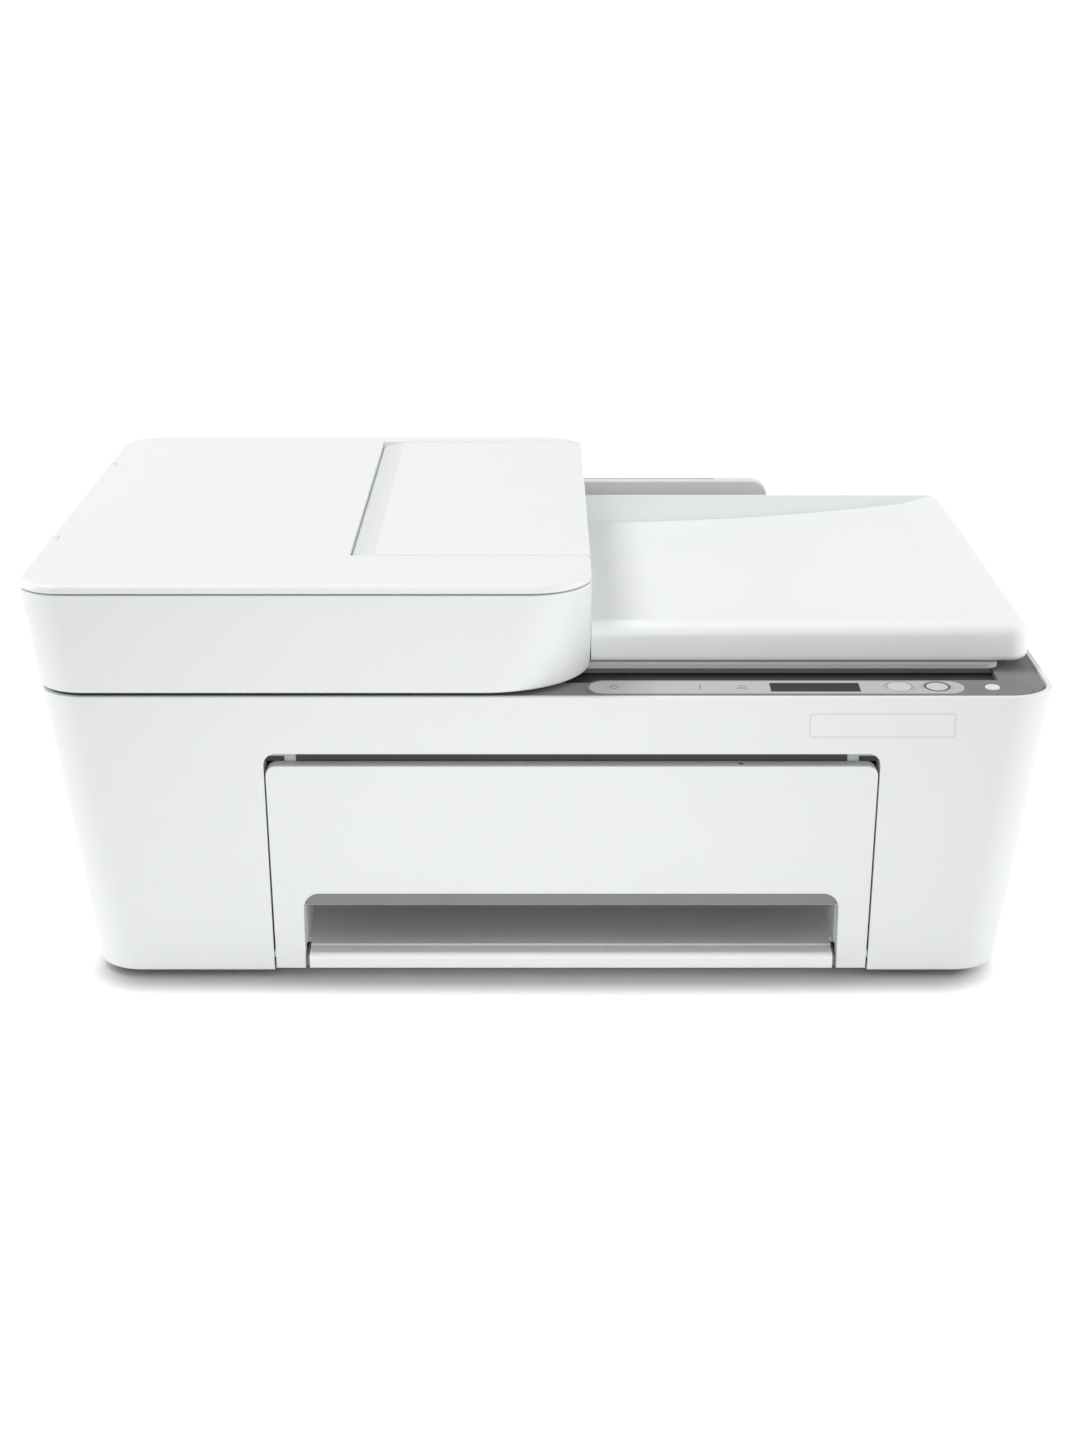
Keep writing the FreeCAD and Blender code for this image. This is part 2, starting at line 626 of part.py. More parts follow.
def soften(body, radius, pick):
    """Round the edges that a test picks."""
    base = body.Tip
    names = [f"Edge{i}" for i, edge in enumerate(base.Shape.Edges, 1) if pick(edge)]
    if not names:
        raise RuntimeError(f"no edge to round in {body.Label}")
    feature = body.newObject("PartDesign::Fillet", "Fillet")
    feature.Base = (base, names)
    feature.setExpression("Radius", as_size(radius).text)
    body.Tip = feature
    doc.recompute()
    return feature


def near(value, size):
    """True where a coordinate lies on a size."""
    return abs(value - as_size(size).value) < 1e-4


def runs_along(edge, axis):
    """True for a straight edge along X, Y or Z."""
    if not isinstance(edge.Curve, Part.Line):
        return False
    direction = edge.Curve.Direction
    return abs(abs((direction.x, direction.y, direction.z)["XYZ".index(axis)]) - 1) < 1e-6


def lies_at(edge, axis, size):
    """True where all of an edge lies at one coordinate."""
    box = edge.BoundBox
    low, high = ((box.XMin, box.XMax), (box.YMin, box.YMax), (box.ZMin, box.ZMax))["XYZ".index(axis)]
    return near(low, size) and near(high, size)


def middle(edge):
    """The middle of an edge's box."""
    return edge.BoundBox.Center


# Levels and centre lines that several pieces share
centre = (d.lid_reach - d.base_top_width / 2) / 2
front = -d.overall_depth / 2
rear = front + d.base_depth
foot = d.foot_height
rim = foot + d.casing_height
lean = (d.base_top_width - d.base_bottom_width) / 2 / d.casing_height
paper = centre + d.door_offset
pan_top = foot + d.pan_thickness
deck_top = rim - d.deck_drop
deck_base = deck_top - d.deck_thickness


def behind(size):
    """A depth measured back from the front face."""
    return front + size


def half_at(level):
    """Half the base's width at a height."""
    return d.base_bottom_width / 2 + lean * (level - foot)


def tapered(low, high, sides_low, sides_high):
    """A front-view outline whose sides lean."""
    return Poly([(sides_low[0], low), (sides_low[1], low), (sides_high[1], high),
                 (sides_high[0], high)])


def rises(edge, low, high):
    """True for an edge that runs the whole way between two levels."""
    return near(edge.BoundBox.ZMin, low) and near(edge.BoundBox.ZMax, high)


def on_rim(body, edge, level):
    """True for an edge of the outer outline of a body's level face."""
    flats = [face for face in body.Tip.Shape.Faces if near(face.BoundBox.ZMin, level)
             and near(face.BoundBox.ZMax, level)]
    return any(edge.isSame(other) for face in flats for other in face.OuterWire.Edges)


def shell(body, low, high, sides_low, sides_high, y0, y1, sweep=None):
    """A leaning-sided ring of wall, rounded in plan and eased along its rims.

    A sweep gives the front right corner two radii of its own, at the low and the high level.
    """
    pad(body, "XZ", y0, y1, tapered(low, high, sides_low, sides_high))
    inner_low = (sides_low[0] + d.wall, sides_low[1] - d.wall)
    inner_high = (sides_high[0] + d.wall, sides_high[1] - d.wall)
    cut(body, "XZ", y0 + d.wall, y1 - d.wall, tapered(low, high, inner_low, inner_high))
    right = sides_low[1]

    def corner(edge, inset):
        """True for a standing corner edge that takes the plain round."""
        if not rises(edge, low, high):
            return False
        swept = sweep and near(middle(edge).x, right - inset) and near(middle(edge).y, y0 + inset)
        return not swept and (near(middle(edge).y, y0 + inset) or near(middle(edge).y, y1 - inset))

    soften(body, d.plan_corner - d.wall, lambda edge: corner(edge, d.wall))
    soften(body, d.plan_corner, lambda edge: corner(edge, as_size(0)))
    if sweep:
        inner = [spandrel(right - d.wall, y0 + d.wall, radius - d.wall, d.wall / 2) for radius in sweep]
        outer = [spandrel(right, y0, radius, d.wall) for radius in sweep]
        loft(body, "Additive", low, high, *inner)
        loft(body, "Subtractive", low, high, *outer)
    soften(body, d.edge_round, lambda edge: on_rim(body, edge, low))
    soften(body, d.edge_round / 2, lambda edge: on_rim(body, edge, high))


# Base casing
opening_top = rim - d.opening_drop
door_top = opening_top - d.finger_gap
opening_low = d.door_bottom_width / 2 + d.door_gap
opening_high = d.door_top_width / 2 + d.door_gap
door_axis_y = behind(d.door_axis_back)
casing = new_body("base_casing")
shell(casing, foot, rim, (centre - half_at(foot), centre + half_at(foot)),
      (centre - half_at(rim), centre + half_at(rim)), front, rear)
ledge_low = deck_base - d.ledge_thickness
ledge_half = half_at(ledge_low) - d.wall / 2
shelf = d.wall / 2 + d.ledge_width
pad(casing, "XY", ledge_low, deck_base,
    Rect(centre - ledge_half, centre + ledge_half, front + d.wall / 2, rear - d.wall / 2,
         d.plan_corner - d.wall / 2),
    Rect(centre - ledge_half + shelf, centre + ledge_half - shelf, front + d.wall / 2 + shelf,
         rear - d.wall / 2 - shelf, d.plan_corner - d.wall / 2 - shelf))
cut(casing, "XZ", front - d.wall, front + d.wall * 2,
    Poly([(paper - opening_low, foot - d.wall), (paper + opening_low, foot - d.wall),
          (paper + opening_high, opening_top), (paper - opening_high, opening_top)]))
soften(casing, d.door_corner, lambda edge: runs_along(edge, "Y") and near(middle(edge).z, opening_top)
       and middle(edge).y < front.value + d.wall.value * 2)
for side in (-1, 1):
    inner, outer = paper + side * opening_high, paper + side * (opening_high + d.jamb_thickness)
    low, high = (outer, inner) if side < 0 else (inner, outer)
    pad(casing, "YZ", low, high,
        Rect(front + d.wall / 2, behind(d.jamb_depth), pan_top + d.seat_gap,
             opening_top + d.jamb_thickness))
rail_y = behind(d.bay_rail_back)
rail_low = door_top - d.bay_rail_low
rail_reach = opening_high - d.bay_rail_in
lug_mid = rail_low + d.bay_rail_height / 2
for side in (-1, 1):
    inner, outer = paper + side * rail_reach, paper + side * (opening_high + d.jamb_thickness / 2)
    low, high = (outer, inner) if side < 0 else (inner, outer)
    pad(casing, "XY", lug_mid - d.bay_lug_height / 2, lug_mid + d.bay_lug_height / 2,
        Rect(low, high, rail_y - d.bay_rail_thickness / 2, rail_y + d.bay_rail_thickness * 1.5))
bay_rail = new_body("bay_rail")
pad(bay_rail, "XZ", rail_y, rail_y + d.bay_rail_thickness,
    Rect(paper - rail_reach, paper + rail_reach, rail_low, rail_low + d.bay_rail_height))
soften(bay_rail, d.bay_rail_thickness / 4, lambda edge: runs_along(edge, "X"))
cut(casing, "YZ", paper - opening_high - d.jamb_thickness * 2,
    paper + opening_high + d.jamb_thickness * 2,
    Disc(door_axis_y, d.door_axis_height, d.door_pin_radius + d.run_gap))
cut(casing, "XZ", rear - d.wall * 2, rear + d.wall,
    Rect(paper - d.window_width / 2, paper + d.window_width / 2, d.window_bottom, d.window_top, d.wall))
inlet_x = d.base_bottom_width / 2 - d.inlet_in
usb_x = d.base_bottom_width / 2 - d.usb_in
for offset, width, height in ((inlet_x, d.inlet_width, d.inlet_height),
                              (usb_x, d.usb_width, d.usb_height)):
    cut(casing, "XZ", rear - d.wall * 2, rear + d.wall,
        Rect(centre - offset - width / 2, centre - offset + width / 2,
             d.inlet_z - height / 2, d.inlet_z + height / 2, d.wall / 2))

# Bottom pan with the extender rails, board standoffs and pick roller posts
pan = new_body("bottom_pan")
pan_half = d.base_bottom_width / 2 - d.wall - d.seat_gap
pad(pan, "XY", foot, pan_top,
    Rect(centre - pan_half, centre + pan_half, front + d.wall + d.seat_gap, rear - d.wall - d.seat_gap,
         d.plan_corner - d.wall))
cut(pan, "XY", foot - d.wall, pan_top + d.wall,
    Rect(paper - opening_high, paper + opening_high, front, behind(d.pan_notch)))
rail_in = d.extender_width / 2 + d.rail_gap
exit_floor = pan_top + d.extender_lift + d.extender_thickness + d.seat_gap
pad(pan, "XY", pan_top, exit_floor,
    *[Rect(low, high, behind(d.rail_front), behind(d.rail_front + d.rail_length)) for low, high in
      ((paper - rail_in - d.rail_width, paper - rail_in),
       (paper + rail_in, paper + rail_in + d.rail_width))])
plate_in = least(half_at(foot), half_at(rim)) - d.chassis_margin
board_left = centre - plate_in + d.main_board_gap
board_width = paper - rail_in - d.rail_width - d.main_board_side - board_left
board_spots = [(board_left + d.standoff_radius * 2 + x,
                behind(d.main_board_front) + d.standoff_radius * 2 + y)
               for x in (as_size(0), board_width - d.standoff_radius * 4)
               for y in (as_size(0), d.main_board_depth - d.standoff_radius * 4)]
pad(pan, "XY", pan_top, pan_top + d.standoff, *[Disc(x, y, d.standoff_radius) for x, y in board_spots])
pick_y = rear - d.pick_in
for side in (-1, 1):
    near_face, far_face = paper + side * d.pick_half, paper + side * (d.pick_half + d.post_thickness)
    low, high = (far_face, near_face) if side < 0 else (near_face, far_face)
    pad(pan, "YZ", low, high,
        Rect(pick_y - d.pick_shaft * 2, pick_y + d.pick_shaft * 2, pan_top - d.wall / 2,
             d.pick_height + d.pick_shaft * 2))
cut(pan, "YZ", paper - d.pick_half - d.post_thickness * 2, paper + d.pick_half + d.post_thickness * 2,
    Disc(pick_y, d.pick_height, d.pick_shaft + d.run_gap))

# Feet under the pan
feet = new_body("rubber_feet")
foot_x = d.base_bottom_width / 2 - d.foot_inset
pad(feet, "XY", 0, foot, *[Disc(centre + side * foot_x, y, d.foot_radius) for side in (-1, 1)
                           for y in (behind(d.foot_inset), rear - d.foot_inset)])
soften(feet, d.edge_round / 2, lambda edge: lies_at(edge, "Z", 0))

# Scanner deck with its two glasses
glass_y1 = rear - d.glass_back
glass_y0 = glass_y1 - d.glass_depth
glass_x0 = centre - d.glass_left
glass_x1 = glass_x0 + d.glass_width
strip_x1 = glass_x0 - d.strip_gap
strip_x0 = strip_x1 - d.strip_width
panel_y = behind(d.panel_set)
panel_x1 = centre + d.base_top_width / 2 - d.panel_margin
display_x0 = panel_x1 - d.display_in
stop_x = panel_x1 - d.stop_in
start_x = panel_x1 - d.start_in
power_x = panel_x1 - d.power_in
deck = new_body("scanner_deck")
deck_half = half_at(deck_base) - d.wall - d.seat_gap
deck_inset = d.wall + d.seat_gap
pad(deck, "XY", deck_base, deck_top,
    Rect(centre - deck_half, centre + deck_half, front + deck_inset, rear - deck_inset,
         d.plan_corner - deck_inset))
soften(deck, d.edge_round / 2, lambda edge: lies_at(edge, "Z", deck_top))
for left, right in ((glass_x0, glass_x1), (strip_x0, strip_x1)):
    cut(deck, "XY", deck_top - d.glass_thickness, deck_top + d.wall,
        Rect(left - d.seat_gap, right + d.seat_gap, glass_y0 - d.seat_gap, glass_y1 + d.seat_gap))
    cut(deck, "XY", deck_base - d.wall, deck_top,
        Rect(left + d.glass_seat, right - d.glass_seat, glass_y0 + d.glass_seat,
             glass_y1 - d.glass_seat))
button_y = d.panel_depth / 2
button_hole = d.button_radius + d.button_gap
cut(deck, "XY", deck_base - d.wall, deck_top + d.wall,
    Rect(display_x0 - d.wall, start_x + button_hole + d.wall / 2,
         panel_y + button_y - button_hole - d.edge_round / 2,
         panel_y + button_y + button_hole + d.edge_round / 2))
cut(deck, "XY", deck_base - d.wall, deck_top + d.wall,
    Disc(power_x, panel_y + button_y, d.power_radius + d.edge_round))
tray_x1 = centre + d.base_top_width / 2 - d.tray_margin
plate_end = tray_x1 - d.plate_inset
feeder_x1 = centre + d.feeder_right
cut(deck, "XY", deck_top - d.gutter_depth, deck_top + d.wall,
    Rect(feeder_x1 - d.plan_corner, plate_end + d.gutter_corner, panel_y + d.panel_depth + d.gutter_gap,
         behind(d.plate_front + d.gutter_under), d.gutter_corner))
for label, left, right in (("platen_glass", glass_x0, glass_x1), ("feeder_glass", strip_x0, strip_x1)):
    glass = new_body(label)
    pad(glass, "XY", deck_top - d.glass_thickness, deck_top, Rect(left, right, glass_y0, glass_y1))

# Scan bed, guide rod and scan bar under the glass
bed_low = deck_base - d.bed_height
bed_x0, bed_x1 = strip_x0 - d.bed_side, glass_x1 + d.bed_end
bed_y0 = glass_y0 - d.bed_lead
bed_y1 = rear - d.bed_back
bed = new_body("scan_bed")
pad(bed, "XY", bed_low, deck_base,
    Rect(bed_x0, bed_x1, bed_y0, bed_y1, d.bed_corner))
soften(bed, d.bed_wall, lambda edge: lies_at(edge, "Z", bed_low))
cut(bed, "XY", bed_low + d.bed_wall, deck_base + d.wall,
    Rect(bed_x0 + d.bed_wall, bed_x1 - d.bed_wall, bed_y0 + d.bed_wall,
         bed_y1 - d.bed_wall, d.bed_corner - d.bed_wall))
scan_rod_y = (bed_y0 + bed_y1) / 2
scan_rod_z = bed_low + d.scan_rod_lift
scan_rod = new_body("scan_rod")
pad(scan_rod, "YZ", bed_x0 + d.bed_wall, bed_x1 - d.bed_wall,
    Disc(scan_rod_y, scan_rod_z, d.scan_rod_radius))
bar_x = (strip_x0 + strip_x1) / 2
bar_top = deck_base - d.scan_bar_gap
bar_low = bar_top - d.scan_bar_height
bar = new_body("scan_bar")
pad(bar, "XY", bar_low, bar_top,
    Rect(bar_x - d.scan_bar_width / 2, bar_x + d.scan_bar_width / 2,
         bed_y0 + d.bed_wall + d.scan_bar_end, bed_y1 - d.bed_wall - d.scan_bar_end))
pad(bar, "YZ", bar_x - d.scan_bar_width / 2, bar_x + d.scan_bar_width / 2,
    Rect(scan_rod_y - d.saddle_half, scan_rod_y + d.saddle_half,
         scan_rod_z - d.scan_rod_radius - d.wall / 2,
         bar_low + d.wall / 2))
cut(bar, "YZ", bar_x - d.scan_bar_width, bar_x + d.scan_bar_width,
    Disc(scan_rod_y, scan_rod_z, d.scan_rod_radius + d.run_gap))
cut(bar, "XY", bar_top - d.wall / 2, bar_top + d.wall,
    Rect(bar_x - d.wall, bar_x + d.wall, bed_y0 + d.scan_bar_end * 2, bed_y1 - d.scan_bar_end * 2))

# Control panel, drawn level and then tilted towards the front
tilt_text = f"atan({d.panel_rise.text} / {d.panel_depth.text})"


def tilt_up(body):
    """Set a panel piece on the deck and lean it with the panel."""
    body.Placement = FreeCAD.Placement(Vector(0, 0, 0), FreeCAD.Rotation(Vector(1, 0, 0), 1))
    place(body, 0, panel_y, deck_top)
    body.setExpression("Placement.Rotation.Angle", tilt_text)
    doc.recompute()


def panel_holes(body, low, high):
    """Cut the display window and the button holes."""
    cut(body, "XY", low, high,
        Rect(display_x0 - d.button_gap, display_x0 + d.display_width + d.button_gap,
             button_y - d.display_depth / 2 - d.button_gap,
             button_y + d.display_depth / 2 + d.button_gap),
        Disc(stop_x, button_y, button_hole), Disc(start_x, button_y, button_hole))


inset_outline = Rect(centre + d.panel_left + d.inset_start, panel_x1 - d.inset_end,
                     button_y - d.inset_width / 2,
                     button_y + d.inset_width / 2, d.inset_width / 2 - d.button_gap / 4)
inset_low = d.panel_edge - d.inset_depth
panel_low = -d.panel_rise * 2
slack = d.wall
panel = new_body("control_panel")
pad(panel, "XY", panel_low, d.panel_edge,
    Rect(centre + d.panel_left, panel_x1, 0, d.panel_depth, d.panel_corner))
soften(panel, d.edge_round / 4, lambda edge: lies_at(edge, "Z", d.panel_edge))
fall = d.panel_rise / d.panel_depth
cut(panel, "YZ", centre + d.panel_left - slack, panel_x1 + slack,
    Poly([(-slack, slack * fall), (-slack, panel_low - slack),
          (d.panel_depth + slack, panel_low - slack),
          (d.panel_depth + slack, -(d.panel_depth + slack) * fall)]))
cut(panel, "XY", inset_low, d.panel_edge + slack, inset_outline)
panel_holes(panel, panel_low - slack, d.panel_edge + slack)
cut(panel, "XY", panel_low - slack, d.panel_edge + slack,
    Disc(power_x, button_y, d.power_radius + d.button_gap))
tilt_up(panel)
inset = new_body("panel_inset")
pad(inset, "XY", inset_low, d.panel_edge + d.inset_proud, inset_outline)
panel_holes(inset, inset_low - slack, d.panel_edge + slack)
tilt_up(inset)
display = new_body("display_window")
pad(display, "XY", d.panel_edge + d.inset_proud - d.display_thickness, d.panel_edge + d.inset_proud,
    Rect(display_x0, display_x0 + d.display_width,
         button_y - d.display_depth / 2, button_y + d.display_depth / 2))
tilt_up(display)
board_top = deck_base - d.board_drop
for label, button_x, radius in (("stop_button", stop_x, d.button_radius),
                                ("start_button", start_x, d.button_radius),
                              ("power_button", power_x, d.power_radius)):
    button = new_body(label)
    button_top = d.panel_edge + d.button_proud
    pad(button, "XY", d.panel_edge - d.button_skirt, button_top, Disc(button_x, button_y, radius))
    soften(button, d.button_proud, lambda edge: lies_at(edge, "Z", button_top))
    stem_low = board_top - deck_top + d.stem_gap
    pad(button, "XY", stem_low, d.panel_edge - d.button_skirt, Disc(button_x, button_y, d.stem_radius))
    tilt_up(button)
panel_board = new_body("panel_board")
pad(panel_board, "XY", board_top - d.board_thickness, board_top,
    Rect(display_x0 - d.inset_width, power_x + d.inset_width / 2,
         behind(d.wall * 2), behind(d.wall * 2) + d.inset_width))
pad(panel_board, "XY", board_top, deck_base,
    *[Disc(x, behind(d.wall * 2) + d.inset_width / 2, d.stem_radius)
      for x in (display_x0 - d.inset_width / 2, (start_x + power_x) / 2)])

# Chassis with the rods, rollers and belts it carries
plate_out = plate_in + d.sheet
beam_y = behind(d.beam_back)
rod_y = behind(d.rod_back)
feed_y = behind(d.feed_back)
exit_y = behind(d.exit_back)
chassis_y0 = behind(d.chassis_front)
chassis_y1 = behind(d.chassis_back)
chassis_top = bed_low - d.chassis_drop
beam_bottom = chassis_top - d.beam_height
rod_z = chassis_top - d.rod_drop
belt_z = chassis_top - d.belt_drop
belt_span = plate_in - d.belt_inset
motor_x = centre + belt_span
gear_reach = (d.gear_teeth + d.pinion_teeth) * d.gear_module / 2 + d.mesh_slack
pinion_y = feed_y + gear_reach * math.sqrt(0.5)
pinion_z = d.roller_height + gear_reach * math.sqrt(0.5)
chassis = new_body("chassis")
pad(chassis, "XZ", beam_y, beam_y + d.sheet,
    Rect(centre - plate_out, centre + plate_out, beam_bottom, chassis_top))
end_plate = Poly([(chassis_y0, pan_top), (chassis_y1, pan_top),
                  (chassis_y1, beam_bottom + d.flange_width * 2),
                  (beam_y + d.flange_width, chassis_top), (rod_y - d.flange_width, chassis_top),
                  (chassis_y0, d.roller_height + d.flange_width * 2)])
for side in (-1, 1):
    inner, outer = centre + side * plate_in, centre + side * plate_out
    low, high = (outer, inner) if side < 0 else (inner, outer)
    pad(chassis, "YZ", low, high, end_plate)
    edge_low, edge_high = (low - d.flange_width, low) if side < 0 else (high, high + d.flange_width)
    pad(chassis, "XY", pan_top, pan_top + d.sheet,
        Rect(edge_low, edge_high, chassis_y0 + d.flange_width, exit_y + d.flange_width * 3))
cut(chassis, "YZ", centre - plate_out - slack, centre + plate_out + slack,
    Disc(rod_y, rod_z, d.rod_radius + d.run_gap / 5),
    Disc(feed_y, d.roller_height, d.shaft_radius + d.run_gap),
    Disc(exit_y, d.roller_height, d.shaft_radius + d.run_gap))
cut(chassis, "YZ", centre - plate_out - slack, centre - plate_in + slack,
    Disc(pinion_y, pinion_z, d.motor_shaft_radius * 2))
cut(chassis, "XZ", beam_y - slack, beam_y + slack * 2,
    Disc(motor_x, belt_z, d.motor_shaft_radius * 2))
belt_y = behind(d.belt_back)
belt_half = d.belt_width / 2
flange = d.belt_thickness / 2
rim_half = belt_half + flange
pad(chassis, "XZ", belt_y - rim_half, beam_y + d.sheet / 2,
    Disc(centre - belt_span, belt_z, d.motor_shaft_radius))
rod = new_body("carriage_rod")
pad(rod, "YZ", centre - plate_out - slack, centre + plate_out + slack, Disc(rod_y, rod_z, d.rod_radius))

tyre_span = d.tyre_pitch * (d.tyre_count - 1)
gear_right = -plate_out - d.gear_outset
gear_left = gear_right - d.gear_width
groove_right = gear_left - flange
groove_left = groove_right - d.belt_width
shaft_left = groove_left - flange
pulley_rim = d.pulley_radius + flange
shaft_right = plate_out + d.gear_outset
feed_roller = new_body("feed_roller")
turn(feed_roller, [(shaft_left, 0), (shaft_right, 0), (shaft_right, d.shaft_radius),
                   (shaft_left, d.shaft_radius)])
exit_roller = new_body("exit_roller")
turn(exit_roller, [(shaft_left, 0), (shaft_right, 0), (shaft_right, d.shaft_radius),
                   (gear_left, d.shaft_radius),
                   (gear_left, pulley_rim), (groove_right, pulley_rim), (groove_right, d.pulley_radius),
                   (groove_left, d.pulley_radius), (groove_left, pulley_rim), (shaft_left, pulley_rim)])
for label, roller, y, tyre_radius in (("feed_tyres", feed_roller, feed_y, d.feed_radius),
                                      ("exit_tyres", exit_roller, exit_y, d.exit_radius)):
    place(roller, centre, y, d.roller_height)
    tyres = new_body(label)
    start = -tyre_span / 2 - d.tyre_length / 2
    sleeve = pad(tyres, "YZ", start, start + d.tyre_length,
                 Disc(0, 0, tyre_radius), Disc(0, 0, d.shaft_radius))
    row_of(tyres, sleeve, tyre_span, d.tyre_count, "N_Axis")
    place(tyres, paper, y, d.roller_height)
belt = new_body("transfer_belt")
belt_in = d.pulley_radius + d.run_gap
belt_out = belt_in + d.belt_thickness
pad(belt, "YZ", centre + groove_left + d.run_gap, centre + groove_right - d.run_gap,
    *[Rect(exit_y - size, feed_y + size, d.roller_height - size, d.roller_height + size,
           size - d.run_gap / 5)
      for size in (belt_out, belt_in)])


def gear(label, teeth, bore):
    """A spur gear about its own X axis, cut from a blank tooth gap by tooth gap."""
    body = new_body(label)
    pitch = teeth * d.gear_module / 2
    tip, root = pitch + d.gear_module, pitch - d.gear_module * 1.25
    pad(body, "YZ", 0, d.gear_width, Disc(0, 0, tip), Disc(0, 0, bore))
    gap_root, gap_pitch, gap_tip = d.gear_module * 0.52, d.gear_module * 0.86, d.gear_module * 1.34
    over = tip + d.gear_module / 2
    tooth_gap = cut(body, "YZ", -slack, d.gear_width + slack,
                    Poly([(-gap_root, root), (gap_root, root), (gap_pitch, pitch), (gap_tip, tip),
                          (gap_tip, over),
                          (-gap_tip, over), (-gap_tip, tip), (-gap_pitch, pitch)]))
    ring_of(body, tooth_gap, teeth)
    return body


def set_teeth(body, angle_text):
    """Turn a gear about its axis so that its teeth meet the other's gaps."""
    body.Placement = FreeCAD.Placement(Vector(0, 0, 0), FreeCAD.Rotation(Vector(1, 0, 0), 1))
    body.setExpression("Placement.Rotation.Angle", angle_text)


gear_x = centre + gear_left
feed_gear = gear("feed_gear", d.gear_teeth, d.shaft_radius)
pad(feed_gear, "YZ", -flange, 0, Disc(0, 0, pulley_rim), Disc(0, 0, d.shaft_radius))
pad(feed_gear, "YZ", -flange - d.belt_width, -flange, Disc(0, 0, d.pulley_radius),
    Disc(0, 0, d.shaft_radius))
pad(feed_gear, "YZ", -flange * 2 - d.belt_width, -flange - d.belt_width,
    Disc(0, 0, pulley_rim), Disc(0, 0, d.shaft_radius))
cut(feed_gear, "YZ", d.gear_width - d.sheet, d.gear_width + slack,
    Disc(0, 0, d.gear_teeth * d.gear_module / 2 - d.gear_module * 4),
    Disc(0, 0, d.shaft_radius + d.wall))
set_teeth(feed_gear, f"(-45 - 180 / {d.gear_teeth.text}) * 1 deg")
place(feed_gear, gear_x, feed_y, d.roller_height)
pinion = gear("motor_pinion", d.pinion_teeth, d.motor_shaft_radius + d.run_gap)
set_teeth(pinion, "135 deg")
place(pinion, gear_x, pinion_y, pinion_z)


def motor(label, shaft_length):
    """A can motor along its own X axis, its shaft pointing to minus X."""
    body = new_body(label)
    neck = d.motor_radius / 3
    turn(body, [(-shaft_length, 0), (d.motor_length + d.wall, 0), (d.motor_length + d.wall, neck),
                (d.motor_length, neck),
                (d.motor_length, d.motor_radius), (0, d.motor_radius), (0, d.motor_shaft_radius),
                (-shaft_length, d.motor_shaft_radius)])
    soften(body, d.edge_round, lambda edge: lies_at(edge, "X", d.motor_length))
    return body


feed_motor = motor("feed_motor", d.sheet + d.gear_outset + d.gear_width)
place(feed_motor, centre - plate_in, pinion_y, pinion_z)
carriage_motor = motor("carriage_motor", beam_y + d.sheet - belt_y + belt_half + flange)
carriage_motor.Placement = FreeCAD.Placement(Vector(0, 0, 0), FreeCAD.Rotation(Vector(0, 0, 1), 90))
place(carriage_motor, motor_x, beam_y + d.sheet, belt_z)
for label, x in (("drive_pulley", motor_x), ("idler_pulley", centre - belt_span)):
    pulley = new_body(label)
    bore, crown = d.motor_shaft_radius + d.run_gap, d.belt_pulley_radius + flange
    turn(pulley, [(bore, -rim_half), (crown, -rim_half), (crown, -belt_half),
                  (d.belt_pulley_radius, -belt_half),
                  (d.belt_pulley_radius, belt_half), (crown, belt_half), (crown, rim_half),
                  (bore, rim_half)], "V_Axis")
    place(pulley, x, belt_y, belt_z)
carriage_belt = new_body("carriage_belt")
loop_in = d.belt_pulley_radius + d.run_gap
loop_out = loop_in + d.belt_thickness
pad(carriage_belt, "XZ", belt_y - belt_half + d.run_gap, belt_y + belt_half - d.run_gap,
    *[Rect(centre - belt_span - size, centre + belt_span + size, belt_z - size, belt_z + size,
           size - d.run_gap / 5) for size in (loop_out, loop_in)])
encoder = new_body("encoder_strip")
pad(encoder, "XZ", beam_y - d.wall - d.encoder_thickness, beam_y - d.wall,
    Rect(centre - plate_in, centre + plate_in, chassis_top - d.encoder_drop,
         chassis_top - d.encoder_drop + d.encoder_height))

# Carriage and its two cartridges, parked at the left
carriage_x = centre - plate_in + d.park_gap + d.carriage_width / 2
carriage_top = chassis_top - d.carriage_drop
carriage_y0 = behind(d.carriage_front)
carriage_y1 = carriage_y0 + d.carriage_depth
bay_low = d.carriage_bottom + d.bay_floor
bay_x = d.bay_width / 2 + d.wall / 2
carriage = new_body("carriage")
pad(carriage, "XY", d.carriage_bottom, carriage_top,
    Rect(carriage_x - d.carriage_width / 2, carriage_x + d.carriage_width / 2, carriage_y0, carriage_y1,
         d.wall))
soften(carriage, d.edge_round, lambda edge: lies_at(edge, "Z", carriage_top))
for side in (-1, 1):
    bay = (carriage_x + side * bay_x - d.bay_width / 2, carriage_x + side * bay_x + d.bay_width / 2)
    cut(carriage, "XY", bay_low, carriage_top + slack,
        Rect(bay[0], bay[1], carriage_y0 - slack, carriage_y0 + d.bay_depth))
    cut(carriage, "XY", d.carriage_bottom - slack, bay_low,
        Rect(bay[0] + d.wall, bay[1] - d.wall, carriage_y0 + d.snout_front,
             carriage_y0 + d.snout_front + d.snout_length + d.wall))
cut(carriage, "YZ", carriage_x - d.carriage_width, carriage_x + d.carriage_width,
    Disc(rod_y, rod_z, d.rod_radius + d.run_gap))
clamp_z = belt_z - loop_in - d.belt_thickness / 2
pad(carriage, "YZ", carriage_x - d.inset_width / 2, carriage_x + d.inset_width / 2,
    Rect(carriage_y1 - d.wall, belt_y + belt_half + d.seat_gap, clamp_z - d.wall * 1.5,
         clamp_z + d.wall * 1.5))
cut(carriage, "YZ", carriage_x - d.inset_width, carriage_x + d.inset_width,
    Rect(belt_y - belt_half - d.seat_gap, belt_y + belt_half + slack,
         clamp_z - d.belt_thickness / 2 - d.button_gap,
         clamp_z + d.belt_thickness / 2 + d.button_gap))
snout_inset = d.wall + d.seat_gap
